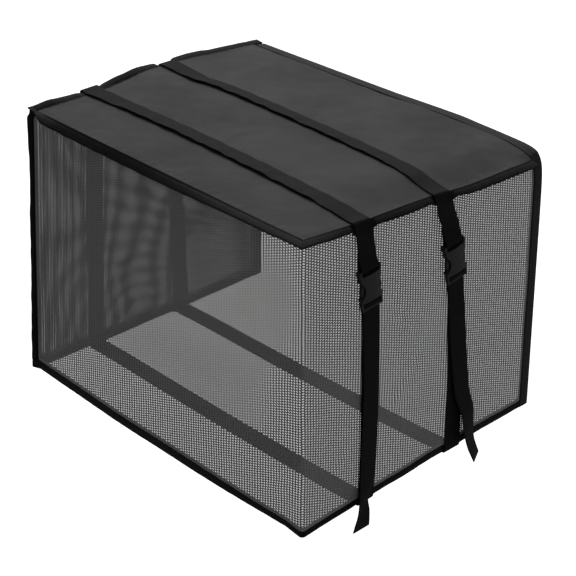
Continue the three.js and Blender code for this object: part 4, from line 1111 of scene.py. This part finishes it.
def build_net_wall(name, first, last):
    """One piece of net between two turns, with the attribute that says how near an edge a point is."""
    turns = turns_between(first, last, NET_STEP)
    point, normal = wall_at(turns)
    bottom = -HEIGHT + read(HEM_FACE, turns) + GAP
    share = np.linspace(0, 1, NET_ROWS)
    z = NET_TOP + (bottom[:, None] - NET_TOP) * share
    run = run_along(point)
    grid, out, turn, far = (np.repeat(v[:, None], NET_ROWS, 1) for v in (point, normal, turns, run))
    grid[..., 2] = z
    lift = net_lift(turn, grid, z) * np.sin(np.pi * np.clip(share, 0.02, 0.98)) ** 0.3
    outer = soften(grid) + out * lift[..., None]
    inner = soften(grid - out * NET_THICK) + out * lift[..., None]
    wall = make_sheet(name, outer, inner, np.stack([far, z], -1))
    edge = np.minimum(z - bottom[:, None], NET_TOP - z)
    edge = np.minimum(edge, np.minimum(run, run[-1] - run)[:, None] + 1.0)
    # the fold of the front corner: holes half closed for the doubled net and for painted shade
    fold = np.where(turns > 2, FOLD_SHADE_SIDE, FOLD_SHADE_FRONT) * np.abs(turns - 2) * SIDE_RUN
    edge = np.minimum(edge, fold[:, None] + FOLD_SHADE_EDGE)
    layer = wall.data.attributes.new("edge", "FLOAT", "POINT")
    layer.data.foreach_set("value", np.tile((edge * MM).ravel(), 2).astype(np.float32))
    wall.data.materials.append(NET_FINISH)
    return wall, run[-1]


net_wrap, wrap_run = build_net_wall("net_wrap", 1 + 0.6 / (2 * WALL_X), RIGHT_OPEN)
net_left, left_run = build_net_wall("net_left", LEFT_OPEN, 1 - (MESH_SHEET + GAP) / (2 * WALL_Y))
print("net faces:", len(net_wrap.data.polygons), len(net_left.data.polygons))

# %% [markdown]
# ## The folded tapes
# Each top seam and the upright corner seam is bound with tape folded over the seam allowance, so a soft black
# ridge stands off the edge. It droops or stands up as the cloth pulls it, and the straps press it flat. A
# profile is carried along the seam: two layers, a sunk line of stitches near the root and a round fold at the
# tip.

# %% The droop tables
# place along the seam, angle below level in degrees, how far the ridge stands off in mm
FRONT_DROOP = [
    (0, -36, 10), (0.06, 30, 11.5), (0.14, 48, 12), (0.34, 55, 12), (0.55, 38, 12), (0.8, 16, 12), (1, 12, 12),
]  # fmt: skip
RIGHT_DROOP = [
    (0, 12, 12), (0.1, 22, 11), (0.178, 32, 9), (0.195, 80, 11), (0.263, 80, 11), (0.28, 36, 9),
    (0.36, 32, 10.5), (0.45, 30, 10.5), (0.514, 34, 9), (0.531, 80, 11), (0.6, 80, 11), (0.617, 36, 8.5),
    (0.68, 28, 10.5), (0.85, 24, 11.5), (1, 28, 11),
]  # fmt: skip
LEFT_DROOP = [
    (0, -30, 10), (0.07, -32, 11.5), (0.13, -16, 11.5), (0.18, -12, 11.5), (0.2, -4, 11.5), (0.276, -4, 11.5),
    (0.292, -14, 11.5), (0.35, -30, 11.5), (0.4, -33, 11.5), (0.46, -22, 11.5), (0.5, -14, 11.5),
    (0.54, -4, 11.5), (0.553, 48, 12), (0.611, 48, 12), (0.624, -2, 12), (0.65, -12, 12), (0.7, -16, 12),
    (0.8, -12, 12), (0.9, -6, 12), (1, -6, 12.5),
]  # fmt: skip
CORNER_SWING = [
    (0, 3, 11.5), (0.03, 0, 8.2), (0.13, -6, 7), (0.26, -10, 5.8), (0.42, 0, 6.9), (0.6, 8, 7),
    (0.85, -6, 7.6), (1, 6, 8.2),
]  # fmt: skip

# The ridge's profile: how far out as a share of the reach, and half the thickness in mm
RIDGE_PROFILE = [
    (-0.09, 1.2), (-0.02, 1.45), (0.1, 1.42), (0.17, 1.12), (0.24, 1.4), (0.5, 1.42), (0.8, 1.3),
    (0.93, 1.05), (1, 0.6),
]  # fmt: skip
RIDGE_LOOP = both_sides(RIDGE_PROFILE, 1 + TAPE_TIP / 12)
# half the width that a strap presses, the way from there to where the ridge is free, and its calm ends
PRESS_HALF, PRESS_FADE, CALM_END = 16, 12, 10


def ridge(name, start, end, outward, down, droop, steps, mitre=(0, 0), calm=()):
    """A folded tape along a seam. calm lists the places along it where a strap presses it down."""
    start, end, outward, down = (np.array(v, float) for v in (start, end, outward, down))
    direction = (end - start) / np.linalg.norm(end - start)
    length = np.linalg.norm(end - start)
    along = np.linspace(0, 1, steps + 1)
    free = np.ones(len(along))
    for middle in calm:
        free *= 1 - fade(np.maximum(np.abs(along - middle) * length - PRESS_HALF, 0), PRESS_FADE)
    free *= np.clip(np.minimum(along, 1 - along) * length / CALM_END, 0, 1)
    seed = sum(map(ord, name))
    angle = np.radians(read(droop, along, 1) + free * wobble(along * length, seed, (23, 41, 77), 1.6))
    reach = read(droop, along, 2) + free * wobble(along * length, seed + 1, (31, 57), 0.3)
    sections = np.zeros((len(along), len(RIDGE_LOOP), 3))
    cut_end = np.zeros(len(along))
    cut_end[0], cut_end[-1] = -mitre[0], mitre[1]
    root = start + along[:, None] * (end - start)
    for k, (share, side) in enumerate(RIDGE_LOOP):
        far = share * reach
        out = far * np.cos(angle) + side * np.sin(angle)
        rise = side * np.cos(angle) - far * np.sin(angle)
        place = root + out[:, None] * outward + rise[:, None] * down + (cut_end * out)[:, None] * direction
        sections[:, k] = soften(place)
    piece = make_band(name, sections)
    piece.data.materials.append(TAPE)
    return piece


print("ridge profile points:", len(RIDGE_LOOP))

# %% Build the seam tapes
SEAM_Z, MEET = -TOP_SHEET / 2, GAP / math.sqrt(2)
UP = (0, 0, 1)


def strap_places(ends, straps):
    """The places along a seam, as shares, where the straps cross it."""
    return [(y - ends[0]) / (ends[1] - ends[0]) for y in straps]


def build_seam_tapes():
    """The four ridges: start, end, outward, down, droop, steps, mitre and the straps' places."""
    right_ends, left_ends = (-HALF_D + MEET, HALF_D - EDGE_TAPE - GAP), (-HALF_D + MEET, HALF_D)
    foot = float(read(HEM_FACE, 1)) + GAP
    half = math.sqrt(0.5)
    rows = {
        "front": (
            (-HALF_W + MEET, -HALF_D, SEAM_Z), (HALF_W - MEET, -HALF_D, SEAM_Z), (0, -1, 0), UP,
            FRONT_DROOP, 180, (1, 1),
        ),
        "right": (
            (HALF_W, right_ends[0], SEAM_Z), (HALF_W, right_ends[1], SEAM_Z), (1, 0, 0), UP,
            RIGHT_DROOP, 230, (1, 0), strap_places(right_ends, (-113, 17)),
        ),
        "left": (
            (-HALF_W, left_ends[0], SEAM_Z), (-HALF_W, left_ends[1], SEAM_Z), (-1, 0, 0), UP,
            LEFT_DROOP, 230, (1, 0), strap_places(left_ends, (-104, 33)),
        ),
        "corner": (
            (-WALL_X, -WALL_Y, -0.5), (-WALL_X, -WALL_Y, -HEIGHT + foot), (-half, -half, 0), (half, -half, 0),
            CORNER_SWING, 110, (0.5, 0),
        ),
    }  # fmt: skip
    return {f"seam_tape_{name}": ridge(f"tape_{name}", *row) for name, row in rows.items()}


seam_tapes = build_seam_tapes()
print("seam tapes:", ", ".join(seam_tapes))

# %% [markdown]
# The hem tape is folded up round the bottom edge, and shows less of its face near the front corner. The opening
# tape does the same round the window side. Both have a round folded edge and a stitch line near the other edge.

# %% Build the hem tape and the opening tape
# how far out the foot of the upright seam's ridge pushes the hem tape, and how far from the seam it is felt
SEAM_FOOT, FOOT_REACH = 7.6, 6
HEM_STEP, HEM_NEAR, HEM_NEAR_STEPS = 4.0, 7, 13
# share of the hem tape's face, and how far out from its own face
HEM_OUTSIDE = [
    (0.06, -0.3), (0.16, 0), (0.5, 0.05), (0.74, 0), (0.82, -0.28), (0.89, -0.05), (0.97, -0.12), (1, -0.5),
]  # fmt: skip
HEM_INSIDE = [(1, 0.5), (0.9, 0.1), (0.5, 0), (0.16, 0), (0.06, 0.3)]
# share of the opening tape's width from its sewn edge to its fold, and half thickness as a share of 1.4
EDGE_PROFILE = [(0, 0.8), (0.03, 1.3), (0.1, 1.38), (0.17, 1.1), (0.24, 1.36), (0.6, 1.4), (0.86, 1.3), (0.96, 0.9)]
# stations of the opening tape up a side, round a bend and over the top
SIDE_STEPS, BEND_STEPS, OVER_STEPS = 90, 9, 132


def build_hem_tape():
    """The hem tape, from the far side's open end round both corners to the buckle side's."""
    near_seam = 1 + np.linspace(-HEM_NEAR, HEM_NEAR, HEM_NEAR_STEPS) / FRONT_RUN
    turns = np.array(sorted(set(turns_between(LEFT_OPEN, RIGHT_OPEN, HEM_STEP)) | set(near_seam)))
    point, normal = wall_at(turns)
    run = run_along(point)
    # the hem tape is also folded round the foot of the upright seam's ridge
    to_seam = np.linalg.norm(point - [-WALL_X, -WALL_Y, 0], axis=1)
    pinch = SEAM_FOOT * np.clip(1 - to_seam / FOOT_REACH, 0, 1) ** 0.8 * math.sqrt(0.5)
    face = read(HEM_FACE, turns) + wobble(run, 31, (37, 61, 113), 0.35)
    proud = (EDGE_THICK - MESH_SHEET) / 2
    swell = wobble(run, 33, (19, 29, 53), 0.18)
    loop = [(s, proud + n) for s, n in HEM_OUTSIDE] + [(s, proud - EDGE_THICK + n) for s, n in HEM_INSIDE]
    loop += [(0, proud - EDGE_THICK / 2)]
    sections = np.zeros((len(turns), len(loop), 3))
    for k, (share, out) in enumerate(loop):
        place = point + normal * (out + swell * (out > 0))[:, None]
        place[:, 2] = -HEIGHT + share * face
        place[:, :2] -= (pinch * (out > 0))[:, None]
        sections[:, k] = soften(place)
    piece = make_band("hem_binding", sections)
    piece.data.materials.append(TAPE)
    return piece, run[-1]


def opening_route():
    """The way of the opening tape: up the buckle side, over the top and down the far side."""
    wall, top = WALL_X - MESH_SHEET / 2, -TOP_SHEET / 2
    side = np.linspace(-HEIGHT, top - EDGE_TURN, SIDE_STEPS)[:-1]
    over = np.linspace(wall - EDGE_TURN, -wall + EDGE_TURN, OVER_STEPS)[1:-1]
    bend = np.linspace(0, math.pi / 2, BEND_STEPS)
    route = [(wall, z, 0.0) for z in side]
    route += [(wall - EDGE_TURN * (1 - math.cos(a)), top - EDGE_TURN * (1 - math.sin(a)), a) for a in bend]
    route += [(x, top, math.pi / 2) for x in over]
    route += [
        (-wall + EDGE_TURN * (1 + math.cos(a)), top - EDGE_TURN * (1 - math.sin(a)), a)
        for a in bend + math.pi / 2
    ]
    route += [(-wall, z, math.pi) for z in side[::-1]]
    return np.array(route)


def build_opening_tape():
    """The opening tape, folded over the cut edge of top and walls."""
    route = opening_route()
    x, z, angle = route.T
    run = run_along(route[:, :2])
    edge = np.full(len(route), HALF_D - EDGE_TAPE)
    loop = both_sides(EDGE_PROFILE, 1)
    sections = np.zeros((len(route), len(loop), 3))
    for k, (share, side) in enumerate(loop):
        out = side * EDGE_THICK / 2 / 1.4
        place = np.stack([x + out * np.cos(angle), edge + share * EDGE_TAPE, z + out * np.sin(angle)], 1)
        sections[:, k] = soften(place)
    piece = make_band("opening_binding", sections)
    # its finish is the binding tape painted lighter, as painted light
    piece.data.materials.append(OPENING_TAPE_LIT)
    return piece, run[-1]


hem_binding, hem_run = build_hem_tape()
opening_binding, opening_run = build_opening_tape()
print("hem", round(hem_run), "mm, opening", round(opening_run), "mm")

# %% [markdown]
# ## The straps
# Each strap is one length of flat webbing. It starts at the stitched loop behind the socket's bar, runs over the
# top, down the far side, under the hem, up the buckle side, through the plug's ladder and down as a loose tail.
# A curve with a bevel would twist in the tight loops, so the flat section is carried along station by station, with
# its width kept in a known direction.

# %% The straps' stations
SOCKET_LOOP = [
    (-50, 5.1), (-44, 5.5), (-37, 6.8), (-31, 8.2), (-26, 8.5), (-24.2, 7.9), (-23.8, 5.8), (-24.2, 3.7),
    (-25.5, 3.1), (-31, 2.9), (-37, 2.8), (-44, 3.1), (-50, 3.2),
]  # fmt: skip
LADDER_LOOP = [
    (45, 1.9), (35, 1.7), (25, 1.6), (19.5, 1.8), (17.6, 3), (17.1, 5.5), (17.5, 7.6), (18.9, 8.5),
    (20.9, 8.5), (22.3, 7.8), (22.9, 6), (23.3, 4.3), (24.7, 3.5), (30, 3.5), (38, 3.6),
]  # fmt: skip
RIGHT_OVER = [
    (-26, 1.2), (-12, 1.25), (-3, 1.5), (0.4, 1.5), (2.2, 0.4), (3, -1.4), (3.8, -6), (4.8, -11), (5, -14),
    (4.4, -21),
]  # fmt: skip
LEFT_OVER_DOWN = [
    (6, -34), (9.2, -16), (9.6, -12.5), (9.2, -9.5), (3.6, 0.3), (2.6, 1.4), (0.6, 1.9), (-3, 1.4), (-14, 1.2),
]  # fmt: skip
LEFT_OVER_FLAT = [
    (7.5, -36), (12, -14), (14.1, -3), (14.2, 0.6), (13.5, 2.3), (12, 3), (5, 2.3), (0, 1.8), (-6, 1.3),
    (-16, 1.2),
]  # fmt: skip
ON_WALL = -WALL_INSET + WEB_LIFT + WEB_THICK / 2
LEFT_DOWN = [
    (2.6, -62), (0.4, -95), (ON_WALL, -130), (ON_WALL, -180), (ON_WALL, -230), (ON_WALL, -280), (ON_WALL, -330),
    (ON_WALL, -365), (ON_WALL, -HEIGHT + 1), (ON_WALL - 1.2, -HEIGHT - 1.2), (ON_WALL - 4, -HEIGHT - 1.6),
]  # fmt: skip
RIGHT_UP = [
    (ON_WALL - 4, -HEIGHT - 1.6), (ON_WALL - 1.2, -HEIGHT - 1.2), (ON_WALL, -HEIGHT + 1), (ON_WALL, -350),
    (ON_WALL, -310), (ON_WALL, -265), (ON_WALL, -220), (ON_WALL, -180),
]  # fmt: skip
# where the even stations on the top start and end, counted inward from either side, and how many steps they make
TOP_FROM, TOP_TO, TOP_STEPS = 26, 16, 54
# the way under the cover: how far below the hem it starts, its sag, its steps, and how far in its ends lie
UNDER_DROP, UNDER_SAG, UNDER_STEPS, UNDER_INSET = 1.6, 2.5, 14, 10
TAIL_STEPS, LEAN_SPAN = 16, 12


def units(v):
    """Each row of vectors brought to length 1, or one vector."""
    return v / np.linalg.norm(v, axis=-1, keepdims=True)


def cover_station(x, y, z, across):
    """The webbing's middle and half width, with both edges laid on the soft cover."""
    half = units(np.array(across, float)) * WEB_WIDTH / 2
    left, right = soften(np.array([[x, y, z] - half, [x, y, z] + half]))
    return (left + right) / 2, units(right - left) * WEB_WIDTH / 2


def buckle_frame(buckle):
    """The buckle's place and axes: across the webbing, down along it and out off the wall."""
    lean = math.radians(buckle["lean"])
    across = np.array([0, -math.cos(lean), -math.sin(lean)])
    down = np.array([0, math.sin(lean), -math.cos(lean)])
    return soften(np.array([WALL_X, buckle["y"], buckle["z"]], float)), across, down, np.array([1.0, 0, 0])


def buckle_station(place, down, out):
    centre, across, down_axis, out_axis = place
    return centre + down_axis * down + out_axis * out, -across * WEB_WIDTH / 2


def strap_stations(spec):
    """Every station of one strap, from the stitched end to the tail's end."""
    place = buckle_frame(spec["buckle"])
    stations = [buckle_station(place, d, o) for d, o in SOCKET_LOOP[::-1]]
    level = (0, 1, 0)
    seed = 50 + int(spec["name"])

    def on_top(x, z):
        calm = min(max((HALF_W - abs(x)) / 40, 0), 1)
        uneven = float(wobble(x, seed, (29, 47, 83), 2.2)) - 1.2
        tilt = math.radians(float(read(spec["tilt"], x)) + calm * uneven)
        y = float(read(spec["top_y"], x)) + calm * float(wobble(x, seed + 2, (31, 53), 0.9))
        return cover_station(x, y, z + WEB_WIDTH / 2 * math.sin(tilt), (0, math.cos(tilt), -math.sin(tilt)))

    def right_y(z):
        return float(read(spec["right_y"], z))

    def leaning(z):
        above = min(z + LEAN_SPAN, 0)
        slope = (right_y(above) - right_y(z - LEAN_SPAN)) / (above - z + LEAN_SPAN)
        return units(np.array([0, 1, -slope * (1 - float(fade(z, 30)))]))

    for out, z in RIGHT_OVER[::-1]:
        low = min(z, 0)
        stations.append(
            on_top(HALF_W + out, z) if out < 0 else cover_station(HALF_W + out, right_y(low), z, leaning(low))
        )
    for i in range(1, TOP_STEPS):
        stations.append(on_top(HALF_W - TOP_FROM + (TOP_FROM + TOP_TO - WIDTH) * i / TOP_STEPS, WEB_LIFT))

    def left_y(z):
        return spec["left"][0] + (spec["left"][1] - spec["left"][0]) * min(max(-z / HEIGHT, 0), 1)

    for out, z in (LEFT_OVER_DOWN if spec["left_down"] else LEFT_OVER_FLAT)[::-1]:
        stations.append(
            on_top(-HALF_W - out, z) if out < 0 else cover_station(-HALF_W - out, left_y(z), z, level)
        )
    stations += [cover_station(-HALF_W - out, left_y(z), z, level) for out, z in LEFT_DOWN]
    under = spec["right_y"][0][1]
    for s in np.arange(1, UNDER_STEPS) / UNDER_STEPS:
        x = -HALF_W + UNDER_INSET + (WIDTH - 2 * UNDER_INSET) * s
        y = spec["left"][1] + (under - spec["left"][1]) * s
        z = -HEIGHT - UNDER_DROP - UNDER_SAG * math.sin(math.pi * s)
        stations.append(cover_station(x, y, z, level))
    lowest = -HEIGHT + LEAN_SPAN
    for out, z in RIGHT_UP:
        across = level if z < -HEIGHT else leaning(max(z, lowest))
        stations.append(cover_station(HALF_W + out, right_y(max(z, -HEIGHT)), z, across))
    stations += [buckle_station(place, d, o) for d, o in LADDER_LOOP]
    first, last = spec["tail"][0][0], spec["tail"][-1][0]
    for i in range(TAIL_STEPS + 1):
        z = first + (last - first) * (1 - (1 - i / TAIL_STEPS) ** 1.5)
        out, aside, twist = (float(read(spec["tail"], z, c)) for c in (1, 2, 3))
        across = leaning(max(z, lowest))
        across[0] = -math.tan(math.radians(twist))
        stations.append(cover_station(WALL_X + out, right_y(max(z, -HEIGHT)) + aside, z, across))
    return np.array([s[0] for s in stations]), np.array([s[1] for s in stations])


print("stations of the first strap:", len(strap_stations(STRAPS[0])[0]))

# %% Carry the webbing along its stations
# across as a share of the half width, and half the thickness as a share
WEB_SECTION = [
    (-1, 0), (-0.985, 0.55), (-0.95, 0.85), (-0.88, 1), (-0.45, 1), (0, 1), (0.45, 1), (0.88, 1),
    (0.95, 0.85), (0.985, 0.55), (1, 0),
]  # fmt: skip
# stations for each given one, and the sharpest turn that still thickens the mitre
FINER, TIGHTEST = 4, 0.6


def refine(values, times):
    """More stations on a smooth line through the given ones, spaced by the root of their distance."""
    gaps = np.sqrt(np.diff(run_along(values[:, :3])))
    knot = np.concatenate([[0], np.cumsum(gaps)])
    slope = np.diff(values, axis=0) / gaps[:, None]
    tangent = np.empty_like(values)
    tangent[0], tangent[-1] = slope[0], slope[-1]
    before, after = gaps[:-1, None], gaps[1:, None]
    tangent[1:-1] = (slope[:-1] * after + slope[1:] * before) / (before + after)
    fine = []
    for i in range(len(values) - 1):
        span = knot[i + 1] - knot[i]
        for t in np.linspace(0, 1, times, endpoint=False):
            fine.append(cubic(t, values[i], values[i + 1], span * tangent[i], span * tangent[i + 1]))
    fine.append(values[-1])
    return np.array(fine)


def build_strap(spec):
    middle, half = strap_stations(spec)
    fine = refine(np.concatenate([middle, half], 1), FINER)
    middle, half = fine[:, :3], fine[:, 3:]
    half = units(half) * WEB_WIDTH / 2
    step = units(np.diff(middle, axis=0))
    arriving, leaving = np.concatenate([step[:1], step]), np.concatenate([step, step[-1:]])
    onward = units(arriving + leaving)
    tight = np.maximum((onward * leaving).sum(1), TIGHTEST)
    up = units(np.cross(onward, half)) * (WEB_THICK / 2 / tight)[:, None]
    loop = WEB_SECTION + [(a, -t) for a, t in WEB_SECTION[-2:0:-1]]
    sections = np.stack([middle + a * half + t * up for a, t in loop], 1)
    across = [a * WEB_WIDTH / 2 for a, _ in loop] + [loop[0][0] * WEB_WIDTH / 2]
    piece = make_band(f"webbing_{spec['name']}", sections, np.array(across))
    piece.data.materials.append(WEBBING)
    return piece, float(run_along(middle)[-1])


webbing = {spec["name"]: build_strap(spec) for spec in STRAPS}
print("strap lengths in mm:", {k: round(v[1]) for k, v in webbing.items()})

# %% [markdown]
# ## The buckles
# The moulded halves already have the right shape as solids. A mould leaves no knife edge, so a small bevel rounds
# every sharp edge, and the plastic's grain does the rest.

# %% Finish the buckles
BEVEL, WELD_GAP, BEVEL_ANGLE = 0.00045, 0.00001, math.radians(38)
BUCKLE_NODES = ["buckle_1_socket", "buckle_1_plug", "buckle_2_socket", "buckle_2_plug"]


def finish_buckle(node):
    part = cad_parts[node]
    part.data.materials.clear()
    part.data.materials.append(PLASTIC)
    weld = part.modifiers.new("weld", "WELD")
    weld.merge_threshold = WELD_GAP
    bevel = part.modifiers.new("rounded edges", "BEVEL")
    bevel.width, bevel.segments, bevel.limit_method = BEVEL, 2, "ANGLE"
    bevel.angle_limit = BEVEL_ANGLE


for node in BUCKLE_NODES:
    finish_buckle(node)
print("buckle halves:", len(BUCKLE_NODES))

# %% [markdown]
# ## Tie the pieces to the model
# The cover has one body. Every piece rides on it, and the solids it stands for are hidden.

# %% Ride and replace


def dress(piece, slot, *nodes):
    """One piece rides on the body and replaces its solids. The slot is not used."""
    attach(piece, "root")
    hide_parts(*nodes)


dress(top_cloth, "oxford", "top_panel")
dress(net_wrap, "mesh", "mesh_wrap")
dress(net_left, "mesh", "mesh_left")
for node, piece in seam_tapes.items():
    dress(piece, "tape", node)
dress(hem_binding, "tape", "hem_tape")
dress(opening_binding, "tape", "opening_tape")
for name, (piece, _) in webbing.items():
    dress(piece, "webbing", f"strap_{name}")
